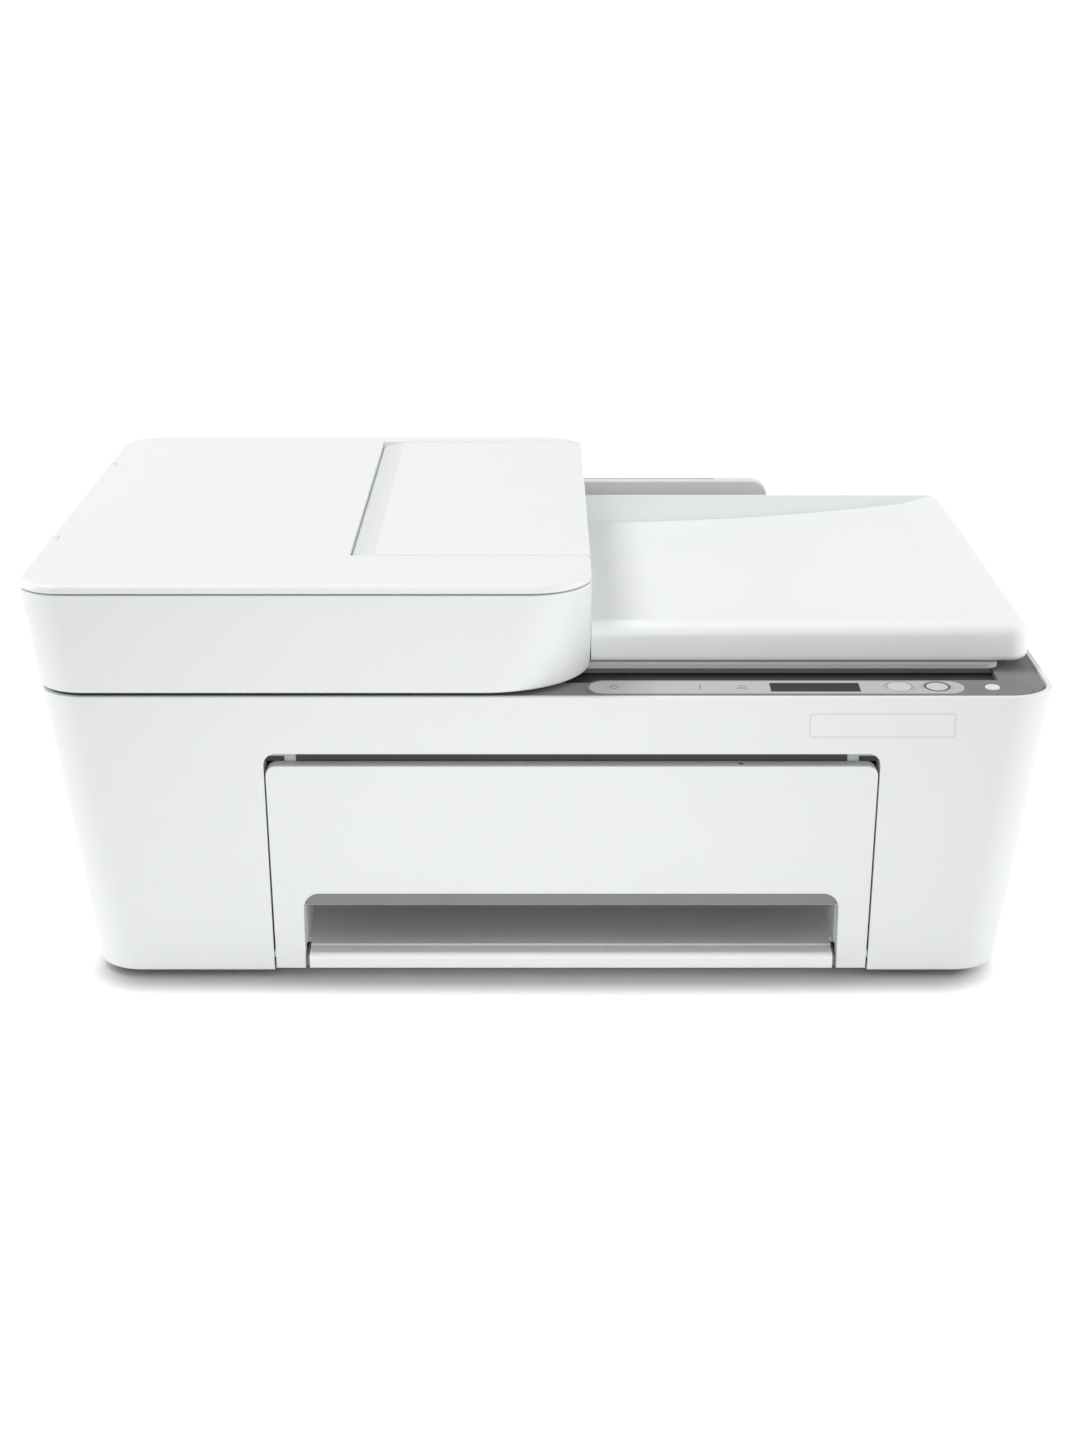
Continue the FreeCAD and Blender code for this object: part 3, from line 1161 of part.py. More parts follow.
for label, side in (("colour_cartridge", -1), ("black_cartridge", 1)):
    cartridge = new_body(label)
    x0 = carriage_x + side * bay_x - d.bay_width / 2 + d.seat_gap
    x1 = carriage_x + side * bay_x + d.bay_width / 2 - d.seat_gap
    y0, y1 = carriage_y0 + d.seat_gap, carriage_y0 + d.bay_depth - d.seat_gap
    top = carriage_top - d.cartridge_drop
    nose = (top - bay_low) / 3
    pad(cartridge, "YZ", x0, x1,
        Poly([(y0, bay_low), (y1, bay_low), (y1, top), (y0 + nose * 1.5, top), (y0, top - nose)]))
    soften(cartridge, d.edge_round, lambda edge: near(middle(edge).z, top) or near(middle(edge).y, y0))
    pad(cartridge, "XY", bay_low - d.snout_drop, bay_low,
        Rect(x0 + snout_inset, x1 - snout_inset, carriage_y0 + d.snout_front + d.seat_gap,
             carriage_y0 + d.snout_front + d.snout_length, d.edge_round))

# Platen, exit floor, extender and service station
platen_y0 = behind(d.platen_front)
platen_y1 = platen_y0 + d.platen_depth
platen = new_body("platen")
pad(platen, "XY", d.platen_top - d.platen_thickness, d.platen_top,
    Rect(paper - d.platen_half, paper + d.platen_half, platen_y0, platen_y1))
for side in (-1, 1):
    inner, outer = paper + side * (d.platen_half - d.platen_thickness), paper + side * d.platen_half
    low, high = (outer, inner) if side < 0 else (inner, outer)
    pad(platen, "XY", pan_top, d.platen_top, Rect(low, high, platen_y0, platen_y1))
rib_span = d.rib_pitch * (d.rib_count - 1)
rib = pad(platen, "XY", d.platen_top - d.wall / 2, d.platen_top + d.rib_height,
          Rect(paper - rib_span / 2 - d.rib_width / 2, paper - rib_span / 2 + d.rib_width / 2,
               platen_y0, platen_y1))
row_of(platen, rib, rib_span, d.rib_count)
floor_y0 = behind(d.rail_front)
slot_half = d.extender_width / 2 + d.slot_gap
floor_bend = floor_y0 + d.floor_flat
floor_half = rail_in + d.rail_width
exit_plate = new_body("exit_floor")
pad(exit_plate, "YZ", paper - floor_half, paper + floor_half,
    Poly([(floor_y0, exit_floor), (floor_bend, exit_floor),
          (floor_bend + d.floor_ramp, exit_floor + d.floor_rise),
          (floor_bend + d.floor_ramp, exit_floor + d.floor_rise + d.floor_thickness),
          (floor_bend, exit_floor + d.floor_thickness), (floor_y0, exit_floor + d.floor_thickness)]))
soften(exit_plate, d.floor_ramp / 2,
       lambda edge: runs_along(edge, "X") and near(middle(edge).y, floor_bend)
       and near(middle(edge).z, exit_floor + d.floor_thickness))
pad(exit_plate, "XY", exit_floor, exit_floor + d.floor_thickness,
    Rect(paper - slot_half + d.tongue_side, paper + slot_half - d.tongue_side,
         behind(d.extender_lip_depth + d.tongue_gap), floor_y0))
extender = new_body("tray_extender")
extender_z = pan_top + d.extender_lift
pad(extender, "XY", extender_z, extender_z + d.extender_thickness,
    Rect(paper - d.extender_width / 2, paper + d.extender_width / 2, front, behind(d.extender_length)))
lip_low = d.door_bottom
pad(extender, "XY", lip_low, lip_low + d.extender_lip_height,
    Rect(paper - d.extender_width / 2, paper + d.extender_width / 2, front,
         behind(d.extender_lip_depth)))
soften(extender, d.extender_lip_round,
       lambda edge: runs_along(edge, "X") and near(middle(edge).y, front)
       and near(middle(edge).z, lip_low + d.extender_lip_height))
soften(extender, d.edge_round / 2, lambda edge: runs_along(edge, "X")
       and (near(middle(edge).z, lip_low) or near(middle(edge).y, behind(d.extender_lip_depth))
            and near(middle(edge).z, lip_low + d.extender_lip_height)))
station = new_body("service_station")
station_x0 = centre - plate_in + d.station_gap
station_x1 = paper - d.platen_half - d.station_side
station_y0 = behind(d.station_front)
pad(station, "XY", pan_top, d.station_top,
    Rect(station_x0, station_x1, station_y0, station_y0 + d.station_depth, d.wall))
cut(station, "XY", d.station_top - d.wall * 3, d.station_top + slack,
    Rect(station_x0 + d.wall, station_x1 - d.wall, station_y0 + d.wall,
         station_y0 + d.station_depth - d.wall))
cap_y = station_y0 + d.station_depth / 2
cap_x = least(carriage_x + bay_x, station_x1 - d.wall / 2 - d.cap_half)
pad(station, "XY", d.station_top - d.wall * 3, d.station_top + d.cap_height / 2,
    *[Rect(x - d.cap_half, x + d.cap_half, cap_y - d.cap_reach, cap_y + d.cap_reach, d.wall)
      for x in (carriage_x - bay_x, cap_x)])

# Pick roller behind the rear window
pick = new_body("pick_roller")
pick_end = d.pick_half + d.post_thickness + d.wall
wheel_out = d.pick_half - d.tyre_length / 2
wheel_in = wheel_out - d.tyre_length
turn(pick, [(-pick_end, 0), (pick_end, 0), (pick_end, d.pick_shaft), (wheel_out, d.pick_shaft),
            (wheel_out, d.pick_radius),
            (wheel_in, d.pick_radius), (wheel_in, d.pick_shaft), (-wheel_in, d.pick_shaft),
            (-wheel_in, d.pick_radius), (-wheel_out, d.pick_radius), (-wheel_out, d.pick_shaft), (-pick_end, d.pick_shaft)])
place(pick, paper, pick_y, d.pick_height)

# Boards, power supply and sockets
main_board = new_body("main_board")
board_y0 = behind(d.main_board_front)
board_z = pan_top + d.standoff
pad(main_board, "XY", board_z, board_z + d.board_thickness,
    Rect(board_left, board_left + board_width, board_y0, board_y0 + d.main_board_depth))
chip = board_width / 4
row = d.main_board_depth / 8
pad(main_board, "XY", board_z + d.board_thickness, board_z + d.board_thickness + d.wall,
    Rect(board_left + chip, board_left + chip * 2, board_y0 + row, board_y0 + row * 2),
    Rect(board_left + chip * 2, board_left + chip * 3, board_y0 + row * 3, board_y0 + row * 4),
    Rect(board_left + chip / 2, board_left + chip * 1.5, board_y0 + row * 5, board_y0 + row * 7))
supply = new_body("power_supply")
supply_x0 = board_left
supply_y1 = rear - d.wall - d.supply_gap
pad(supply, "XY", pan_top, pan_top + d.supply_height,
    Rect(supply_x0, supply_x0 + d.supply_width, supply_y1 - d.supply_depth, supply_y1, d.wall))
soften(supply, d.edge_round, lambda edge: lies_at(edge, "Z", pan_top + d.supply_height))
for label, offset, width, height, corner in (
        ("power_inlet", inlet_x, d.inlet_width, d.inlet_height, d.inlet_corner),
        ("data_socket", usb_x, d.usb_width, d.usb_height, d.usb_corner)):
    socket = new_body(label)
    mid = centre - offset
    pad(socket, "XZ", supply_y1, rear - d.edge_round / 4,
        Rect(mid - width / 2 + d.seat_gap, mid + width / 2 - d.seat_gap,
             d.inlet_z - height / 2 + d.seat_gap,
             d.inlet_z + height / 2 - d.seat_gap, d.wall / 2))
    cut(socket, "XZ", rear - d.wall * 4, rear + slack,
        Rect(mid - width / 2 + d.wall, mid + width / 2 - d.wall, d.inlet_z - height / 2 + d.wall,
             d.inlet_z + height / 2 - d.wall, corner))

# Rear chute, support, extension and paper guides
support_y1 = -front
support_y0 = support_y1 - d.support_thickness
support_mid = support_y1 - d.support_thickness / 2
chute = new_body("rear_chute")
chute_out = d.chute_half + d.cheek_thickness
chute_back = support_y1 - d.cheek_thickness / 2
pad(chute, "YZ", paper - chute_out, paper + chute_out,
    Poly([(rear, d.chute_bottom), (chute_back, d.chute_bottom), (chute_back, d.chute_lip),
          (chute_back - d.chute_plate, d.chute_lip), (rear, d.window_bottom)]))
for side in (-1, 1):
    inner, outer = paper + side * d.chute_half, paper + side * chute_out
    low, high = (outer, inner) if side < 0 else (inner, outer)
    pad(chute, "YZ", low, high,
                Poly([(rear, d.chute_bottom), (chute_back, d.chute_bottom),
                      (chute_back, d.support_axis + d.cheek_thickness * 3),
                      (rear + d.cheek_thickness * 3, d.chute_top), (rear, d.chute_top)]))
cut(chute, "XZ", rear - slack, chute_back - d.chute_plate,
    Rect(paper - d.chute_half, paper + d.chute_half, d.chute_bottom + d.chute_plate,
         d.chute_bottom + d.chute_plate * 2))
cut(chute, "YZ", paper - chute_out - slack, paper + chute_out + slack,
    Disc(support_mid, d.support_axis, d.support_pin_radius + d.run_gap))
support_half = d.chute_half - d.support_gap
support = new_body("rear_support")
pad(support, "XZ", support_y0, support_y1,
    Rect(paper - support_half, paper + support_half, d.support_bottom, d.support_top))
soften(support, d.support_corner,
       lambda edge: runs_along(edge, "Y") and near(middle(edge).z, d.support_top))
soften(support, d.edge_round, lambda edge: lies_at(edge, "Y", support_y0)
       or lies_at(edge, "Y", support_y1))
pin_reach = d.chute_half + d.cheek_thickness - d.seat_gap
pad(support, "YZ", paper - pin_reach, paper + pin_reach,
    Disc(support_mid, d.support_axis, d.support_pin_radius))
pocket_y = support_y1 - d.wall - d.extension_thickness
cut(support, "XY", d.support_top - d.extension_length - d.wall, d.support_top + slack,
    Rect(paper - d.extension_half - d.seat_gap, paper + d.extension_half + d.seat_gap,
         pocket_y - d.seat_gap,
         pocket_y + d.extension_thickness + d.seat_gap))
cut(support, "XZ", support_y0 - slack, support_y0 + d.groove_depth,
    *[Rect(low, high, d.groove_bottom, d.groove_bottom + d.groove_height) for low, high in
      ((paper - support_half + d.wall, paper - d.groove_inner),
       (paper + d.groove_inner, paper + support_half - d.wall))])
extension = new_body("support_extension")
extension_top = d.support_top - d.edge_round
pad(extension, "XZ", pocket_y, pocket_y + d.extension_thickness,
    Rect(paper - d.extension_half, paper + d.extension_half, extension_top - d.extension_length,
         extension_top))
soften(extension, d.support_corner,
       lambda edge: runs_along(edge, "Y") and near(middle(edge).z, extension_top))
guide_face = support_y0 - d.seat_gap
for label, side in (("left_guide", -1), ("right_guide", 1)):
    guide = new_body(label)
    wide = d.window_width / 2
    inner, outer = paper + side * wide, paper + side * (wide + d.guide_thickness)
    low, high = (outer, inner) if side < 0 else (inner, outer)
    pad(guide, "YZ", low, high,
        Rect(guide_face - d.guide_reach, guide_face, d.guide_bottom, d.guide_bottom + d.guide_height))
    soften(guide, d.guide_reach / 2, lambda edge: runs_along(edge, "X")
           and near(middle(edge).y, guide_face - d.guide_reach))
    foot_in = paper + side * (support_half - d.wall - d.seat_gap - d.guide_foot)
    low, high = (outer, foot_in) if side < 0 else (foot_in, outer)
    pad(guide, "XZ", guide_face - d.guide_thickness, guide_face,
        Rect(low, high, d.groove_bottom - d.wall, d.groove_bottom + d.groove_height + d.wall))
    foot_out = paper + side * (support_half - d.wall - d.seat_gap)
    low, high = (foot_out, foot_in) if side < 0 else (foot_in, foot_out)
    pad(guide, "XZ", guide_face - d.guide_thickness, support_y0 + d.groove_depth - d.seat_gap,
        Rect(low, high, d.groove_bottom + d.seat_gap, d.groove_bottom + d.groove_height - d.seat_gap))

# Front door
door = new_body("front_door")
door_low = d.door_bottom_width / 2
door_high = d.door_top_width / 2


def door_edge(level, inset):
    """Half the door's width at a height, set in."""
    share = (level - d.door_bottom) / (door_top - d.door_bottom)
    return door_low + (door_high - door_low) * share - inset


def door_outline(bottom, top, inset):
    """The door's tapered outline between two heights."""
    return Poly([(paper - door_edge(bottom, inset), bottom), (paper + door_edge(bottom, inset), bottom),
                 (paper + door_edge(top, inset), top), (paper - door_edge(top, inset), top)])


door_back = behind(d.door_flange)
pad(door, "XZ", front, door_back, door_outline(d.door_bottom, door_top, as_size(0)))
soften(door, d.door_corner - d.door_gap,
       lambda edge: runs_along(edge, "Y") and near(middle(edge).z, door_top))
cut(door, "XZ", behind(d.door_thickness), door_back + slack,
    door_outline(d.leg_height, door_top - d.door_rim_wall, d.door_rim_wall))
cut(door, "XZ", front - slack, door_back + slack,
    Rect(paper - slot_half, paper + slot_half, d.door_bottom - slack, d.slot_top))
soften(door, d.slot_corner, lambda edge: runs_along(edge, "Y") and near(middle(edge).z, d.slot_top))
soften(door, d.edge_round / 2, lambda edge: lies_at(edge, "Y", front))
pad(door, "XY", d.slot_top - d.slot_rib, d.leg_height,
    Rect(paper - slot_half, paper + slot_half, behind(d.door_thickness), door_back))
for side in (-1, 1):
    tip = paper + side * (door_edge(d.door_axis_height, as_size(0)) + d.door_pin_length)
    base = paper + side * (slot_half + door_edge(d.door_axis_height, as_size(0))) / 2
    low, high = (tip, base) if side < 0 else (base, tip)
    pad(door, "YZ", low, high, Disc(door_axis_y, d.door_axis_height, d.door_pin_radius))

# Lid: plate, feeder housing, document tray, pad and hinge posts
plate_z = rim + d.plate_lift
plate_top = plate_z + d.plate_thickness
feeder_y1 = rear - d.feeder_setback
house_z0 = rim + d.lid_gap
house_z1 = house_z0 + d.feeder_height
hinge_y = feeder_y1 - d.hinge_in
hinge_z = plate_top + d.hinge_lift
lid_foot = d.lid_reach - d.lid_lean
plate_in_gap = d.wall + d.seat_gap
lid_plate = new_body("lid_plate")
plate_x0 = centre - lid_foot + plate_in_gap
plate_x1 = feeder_x1 - plate_in_gap
plate_y1 = hinge_y + d.plate_tail
plate_y0 = front + plate_in_gap
pad(lid_plate, "XY", plate_z, plate_top, Rect(plate_x0, plate_x1, plate_y0, plate_y1))
soften(lid_plate, d.plan_corner - d.wall,
       lambda edge: runs_along(edge, "Z") and near(middle(edge).x, plate_x0))
soften(lid_plate, d.feeder_foot_corner - d.wall, lambda edge: runs_along(edge, "Z")
       and near(middle(edge).x, plate_x1) and near(middle(edge).y, plate_y0))
pad(lid_plate, "XY", plate_z, plate_top,
    Rect(plate_x1 - d.plan_corner, plate_end, behind(d.plate_front), plate_y1))
soften(lid_plate, d.plate_corner,
       lambda edge: runs_along(edge, "Z") and near(middle(edge).x, plate_end))
ear_z = hinge_z + d.hinge_ear_radius
for side in (-1, 1):
    post_x = centre + side * d.hinge_spread
    ear_x0 = post_x + d.hinge_post / 2 + d.hinge_gap
    pad(lid_plate, "YZ", ear_x0, ear_x0 + d.hinge_ear,
        Rect(hinge_y - d.hinge_pin - d.edge_round, hinge_y + d.hinge_ear_radius, plate_z, ear_z))
    cut(lid_plate, "YZ", ear_x0 - d.hinge_gap / 4, ear_x0 + d.hinge_ear + slack,
        Disc(hinge_y, hinge_z, d.hinge_pin + d.run_gap))
    cut(lid_plate, "XY", plate_z - slack, plate_top + slack,
        Rect(post_x - d.hinge_post / 2 - d.hinge_gap * 2, ear_x0 - d.hinge_gap / 4,
             hinge_y - d.hinge_post_radius * 2, plate_y1 + slack))
posts = new_body("hinge_posts")
post_y = (hinge_y - d.hinge_post_radius, hinge_y + d.hinge_post_radius)
for side in (-1, 1):
    post_x = centre + side * d.hinge_spread
    pad(posts, "YZ", post_x - d.hinge_post / 2, post_x + d.hinge_post / 2,
        Rect(post_y[0], post_y[1], deck_top, hinge_z + d.hinge_post_radius))
    pad(posts, "YZ", post_x - d.hinge_post / 2,
        post_x + d.hinge_post / 2 + d.hinge_gap + d.hinge_ear - d.seat_gap,
        Disc(hinge_y, hinge_z, d.hinge_pin))
soften(posts, d.hinge_post_radius - d.run_gap, lambda edge: runs_along(edge, "X")
       and near(middle(edge).z, hinge_z + d.hinge_post_radius))


house_reach = d.lid_reach - d.seat_gap
axis_x = centre - d.lid_reach + d.cover_axis_in
cover_z0 = house_z1 + d.cover_gap
cover_z1 = cover_z0 + d.cover_thickness
axis_z = cover_z0 + d.cover_thickness / 2
lug_radius = d.cover_thickness / 2
exit_slot_z = plate_top + d.exit_slot_lift
housing = new_body("feeder_housing")
shell(housing, house_z0, house_z1, (centre - lid_foot, feeder_x1), (centre - house_reach, feeder_x1),
      front, feeder_y1, (d.feeder_foot_corner, d.feeder_corner))
cut(housing, "YZ", feeder_x1 - d.wall * 2, feeder_x1 + slack,
    Rect(behind(d.exit_slot_front), feeder_y1 - d.exit_slot_back, exit_slot_z,
         exit_slot_z + d.exit_slot_height, d.wall))
cut(housing, "YZ", feeder_x1 - d.wall * 2, feeder_x1 + slack,
    Rect(behind(d.plate_front) - d.seat_gap, feeder_y1 + slack, house_z0 - slack,
         plate_top + d.seat_gap))
for cut_x0, cut_y0 in ((centre - d.lid_reach - slack, hinge_y),
                       (feeder_x1 - d.plan_corner, feeder_y1 - d.plan_corner)):
    cut(housing, "XZ", cut_y0, feeder_y1 + slack,
        Rect(cut_x0, feeder_x1 + slack, house_z0 - slack, plate_top + d.tail_lift))
notch_x = centre - d.hinge_spread
notch_half = d.hinge_post / 2 + d.hinge_gap * 2
cut(housing, "XZ", hinge_y, feeder_y1 + slack,
    Rect(notch_x - notch_half, notch_x + notch_half, house_z0, hinge_z + d.hinge_ear_radius))
lug_x1 = axis_x + lug_radius
lug_starts = (behind(d.lug_front), feeder_y1 - d.lug_rear)
for y0 in lug_starts:
    y1 = y0 + d.lug_length
    pad(housing, "XZ", y0, y1, Rect(axis_x - d.cover_axis_in + d.seat_gap, lug_x1,
                                    house_z1 - d.wall * 2, axis_z))
    pad(housing, "XZ", y0, y1, Disc(axis_x, axis_z, d.cover_axis_in - d.seat_gap / 2))
    pad(housing, "XZ", y0 - d.small_pin_length, y1 + d.small_pin_length,
        Disc(axis_x, axis_z, d.small_pin))
cover = new_body("feeder_cover")
pad(cover, "XY", cover_z0, cover_z1,
    Rect(centre - d.lid_reach, feeder_x1, front, feeder_y1))


def cover_corner(edge):
    """True for the cover's front right standing edge."""
    return near(middle(edge).x, feeder_x1) and near(middle(edge).y, front)


soften(cover, d.plan_corner, lambda edge: runs_along(edge, "Z") and not cover_corner(edge))
soften(cover, d.feeder_corner, lambda edge: runs_along(edge, "Z") and cover_corner(edge))
soften(cover, d.cover_round, lambda edge: lies_at(edge, "Z", cover_z1))
soften(cover, d.edge_round / 2, lambda edge: lies_at(edge, "Z", cover_z0))
recess_x0 = centre - d.flap_left
recess_y0 = behind(d.flap_front)
recess_y1 = feeder_y1 - d.flap_back
cut(cover, "XY", cover_z0 - slack, cover_z1 + slack,
    Rect(recess_x0, feeder_x1 + slack, recess_y0, recess_y1))
for y0 in lug_starts:
    y1 = y0 + d.lug_length
    cut(cover, "XY", cover_z0 - slack, cover_z1 + slack,
        Rect(centre - d.lid_reach - slack, lug_x1 + d.lug_gap + lug_radius, y0 - d.lug_gap,
             y1 + d.lug_gap))
    cut(cover, "XZ", y0 - d.small_pin_length - d.lug_gap, y1 + d.small_pin_length + d.lug_gap,
        Disc(axis_x, axis_z, d.small_pin + d.run_gap))
ledge_top = cover_z0 - d.flap_rest
pad(cover, "XY", ledge_top - d.flap_ledge_thickness, ledge_top,
    Rect(recess_x0 - d.flap_ledge, recess_x0 + d.flap_ledge, recess_y0 + d.flap_gap,
         recess_y1 - d.flap_gap))
pad(cover, "XY", ledge_top - d.flap_ledge_thickness / 2, cover_z0 + d.flap_ledge_thickness,
    Rect(recess_x0 - d.flap_ledge, recess_x0, recess_y0 + d.flap_gap, recess_y1 - d.flap_gap))
flap_axis_x = feeder_x1 - d.cover_thickness / 2 - d.run_gap
cut(cover, "XZ", recess_y0 - d.small_pin_length - d.lug_gap, recess_y1 + d.small_pin_length + d.lug_gap,
    Disc(flap_axis_x, axis_z, d.small_pin + d.run_gap))
separator_x = centre - d.separator_x
separator_z = cover_z0 - d.separator_drop
guide_y0 = behind(d.guide_front)
guide_y1 = feeder_y1 - d.guide_back
separator_y = (guide_y0 + guide_y1) / 2
arm_y = d.separator_half + d.seat_gap
for side in (-1, 1):
    inner, outer = separator_y + side * arm_y, separator_y + side * (arm_y + d.arm_thickness)
    low, high = (outer, inner) if side < 0 else (inner, outer)
    pad(cover, "XZ", low, high,
        Poly([(separator_x - d.arm_tip, separator_z - d.arm_end),
              (separator_x + d.arm_tip, separator_z - d.arm_end),
              (separator_x + d.arm_lead, cover_z0 + d.wall / 2),
              (separator_x - d.arm_trail, cover_z0 + d.wall / 2)]))
cut(cover, "XZ", separator_y - arm_y - d.arm_thickness * 2, separator_y + arm_y + d.arm_thickness * 2,
    Disc(separator_x, separator_z, d.small_shaft + d.run_gap))
flap = new_body("input_flap")
flap_x0 = recess_x0 + d.flap_gap
pad(flap, "XZ", recess_y0 + d.flap_gap, recess_y1 - d.flap_gap,
    Poly([(flap_x0, cover_z0), (feeder_x1, cover_z0), (feeder_x1, cover_z1),
          (flap_x0 + d.flap_ramp, cover_z1),
          (flap_x0, cover_z1 - d.flap_ramp_drop)]))
soften(flap, d.cover_thickness / 2 - d.run_gap,
       lambda edge: runs_along(edge, "Y") and near(middle(edge).x, feeder_x1))
pad(flap, "XZ", recess_y0 - d.small_pin_length, recess_y1 + d.small_pin_length,
    Disc(flap_axis_x, axis_z, d.small_pin))

# Feeder's inner guide and rollers
feeder_left = centre - d.lid_reach
drive_x = feeder_left + d.drive_side
drive_z = plate_top + d.drive_lift
turn_in = d.drive_radius + d.turn_gap
turn_out = turn_in + d.guide_cheek
guide_x1 = feeder_x1 - d.wall - d.guide_short
ramp_x0 = centre - d.ramp_left
exit_x0 = feeder_left + d.exit_side
guide_x0 = feeder_left + d.guide_side
inner_guide = new_body("feeder_guide")
pad(inner_guide, "XZ", guide_y0, guide_y1, Disc(drive_x, drive_z, turn_out),
    Disc(drive_x, drive_z, turn_in))
cut(inner_guide, "XZ", guide_y0 - slack, guide_y1 + slack,
    Rect(drive_x, drive_x + turn_out + slack, drive_z - turn_out - slack, drive_z + turn_out + slack))
skin = d.guide_cheek * 0.8
pad(inner_guide, "XZ", guide_y0, guide_y1,
    Poly([(ramp_x0, plate_top + d.ramp_low), (guide_x1, plate_top + d.ramp_high),
          (guide_x1, plate_top + d.ramp_high + skin),
          (ramp_x0, plate_top + d.ramp_low + skin)]))
pad(inner_guide, "XZ", guide_y0, guide_y1,
    Poly([(exit_x0, plate_top + d.exit_low), (guide_x1, plate_top + d.exit_high - skin),
          (guide_x1, plate_top + d.exit_high),
          (exit_x0, plate_top + d.exit_low + skin)]))
for low, high in ((guide_y0 - d.guide_cheek, guide_y0), (guide_y1, guide_y1 + d.guide_cheek)):
    pad(inner_guide, "XZ", low, high,
        Poly([(guide_x0, plate_top), (guide_x1, plate_top), (guide_x1, plate_top + d.ramp_high + skin),
              (ramp_x0, plate_top + d.ramp_low + skin * 2), (drive_x + turn_out, drive_z + turn_in),
              (drive_x, drive_z + turn_out), (guide_x0, drive_z)]))
cut(inner_guide, "XZ", guide_y0 - d.guide_cheek - slack, guide_y1 + d.guide_cheek + slack,
    Disc(drive_x, drive_z, d.small_shaft + d.run_gap))
drive = new_body("feeder_roller")
drive_half = (guide_y1 - guide_y0) / 2
core, tread = d.small_shaft, d.drive_radius
turn(drive, [(0, -drive_half - d.guide_cheek), (core, -drive_half - d.guide_cheek),
             (core, -drive_half + d.wall),
             (tread, -drive_half + d.wall), (tread, drive_half - d.wall), (core, drive_half - d.wall),
             (core, drive_half + d.guide_cheek), (0, drive_half + d.guide_cheek)], "V_Axis")
place(drive, drive_x, (guide_y0 + guide_y1) / 2, drive_z)
separator = new_body("separator_roller")
reach = arm_y + d.arm_thickness
turn(separator, [(0, -reach), (core, -reach), (core, -d.separator_half),
                 (d.separator_radius, -d.separator_half), (d.separator_radius, d.separator_half),
                 (core, d.separator_half), (core, reach), (0, reach)], "V_Axis")
place(separator, separator_x, separator_y, separator_z)

# Document tray, dished towards the feeder and hollow below
tray_x0 = feeder_x1 + d.seat_gap
tray_z0 = plate_top + d.seat_gap
tray_z1 = tray_z0 + d.tray_height
tray_y0 = behind(d.tray_front)
tray_y1 = hinge_y - d.hinge_post_radius - d.tray_hinge_gap
tray = new_body("document_tray")
pad(tray, "XY", tray_z0, tray_z1, Rect(tray_x0, tray_x1, tray_y0, tray_y1))
soften(tray, d.tray_corner, lambda edge: runs_along(edge, "Z") and near(middle(edge).x, tray_x1))
soften(tray, d.tray_round, lambda edge: lies_at(edge, "Z", tray_z1)
       and not near(middle(edge).x, tray_x0))
soften(tray, d.tray_foot_round, lambda edge: lies_at(edge, "Z", tray_z0)
       and not near(middle(edge).x, tray_x0) and middle(edge).y < tray_y1.value - d.tray_corner.value)
floor_z0 = tray_z0 + d.tray_floor_left
crest_x = tray_x1 - d.tray_crest_in
dish_x0 = tray_x0 - slack


def dish_level(x):
    """The dish's height, near enough, at a place along it."""
    share = (x - dish_x0) / (crest_x - dish_x0)
    return floor_z0 + d.tray_crest_rise * share * share


cut(tray, "XZ", tray_y0 + d.tray_lip, tray_y1 - d.tray_rim,
    Bowed([(dish_x0, floor_z0), (dish_x0, tray_z1 + slack), (crest_x, tray_z1 + slack),
           (crest_x, floor_z0 + d.tray_crest_rise)], d.tray_dish))
hollow_x0, hollow_x1 = tray_x1 - d.tray_hollow_in, tray_x1 - d.tray_corner
cut(tray, "XZ", tray_y0 + d.tray_lip, tray_y1 - d.tray_rim,
    Poly([(hollow_x0, tray_z0 - slack), (hollow_x1, tray_z0 - slack),
          (hollow_x1, dish_level(hollow_x1) - d.tray_skin),
          (hollow_x0, dish_level(hollow_x0) - d.tray_skin)]))
pad_piece = new_body("platen_pad")
pad(pad_piece, "XY", plate_z - d.pad_thickness, plate_z,
    Rect(strip_x0 - d.pad_margin, glass_x1 + d.pad_margin, glass_y0 - d.pad_margin,
         glass_y1 - d.pad_margin / 2, d.plate_corner))

# Check every object, then write one file for each node
doc.recompute()
bodies = [item for item in doc.Objects if item.TypeId == "PartDesign::Body"]
faults = [item.Name for item in doc.Objects if "Invalid" in item.State or "Error" in item.State]
faults += [body.Label for body in bodies if body.Shape.isNull() or not body.Shape.isValid()
           or not body.Shape.Solids]
if faults:
    raise RuntimeError(f"these did not build: {faults}")
os.makedirs("parts", exist_ok=True)
for body in bodies:
    body.Shape.exportStep(f"parts/{body.Label}.step")
print(f"{len(bodies)} nodes written")
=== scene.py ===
"""Looks of a low all-in-one inkjet printer, dressed over its packed construction."""

import json
import logging
import math
from dataclasses import dataclass
from enum import Enum
from typing import Any, Callable, ClassVar

import bmesh
import bpy
from bmesh.types import BMesh
from mathutils import Matrix, Vector

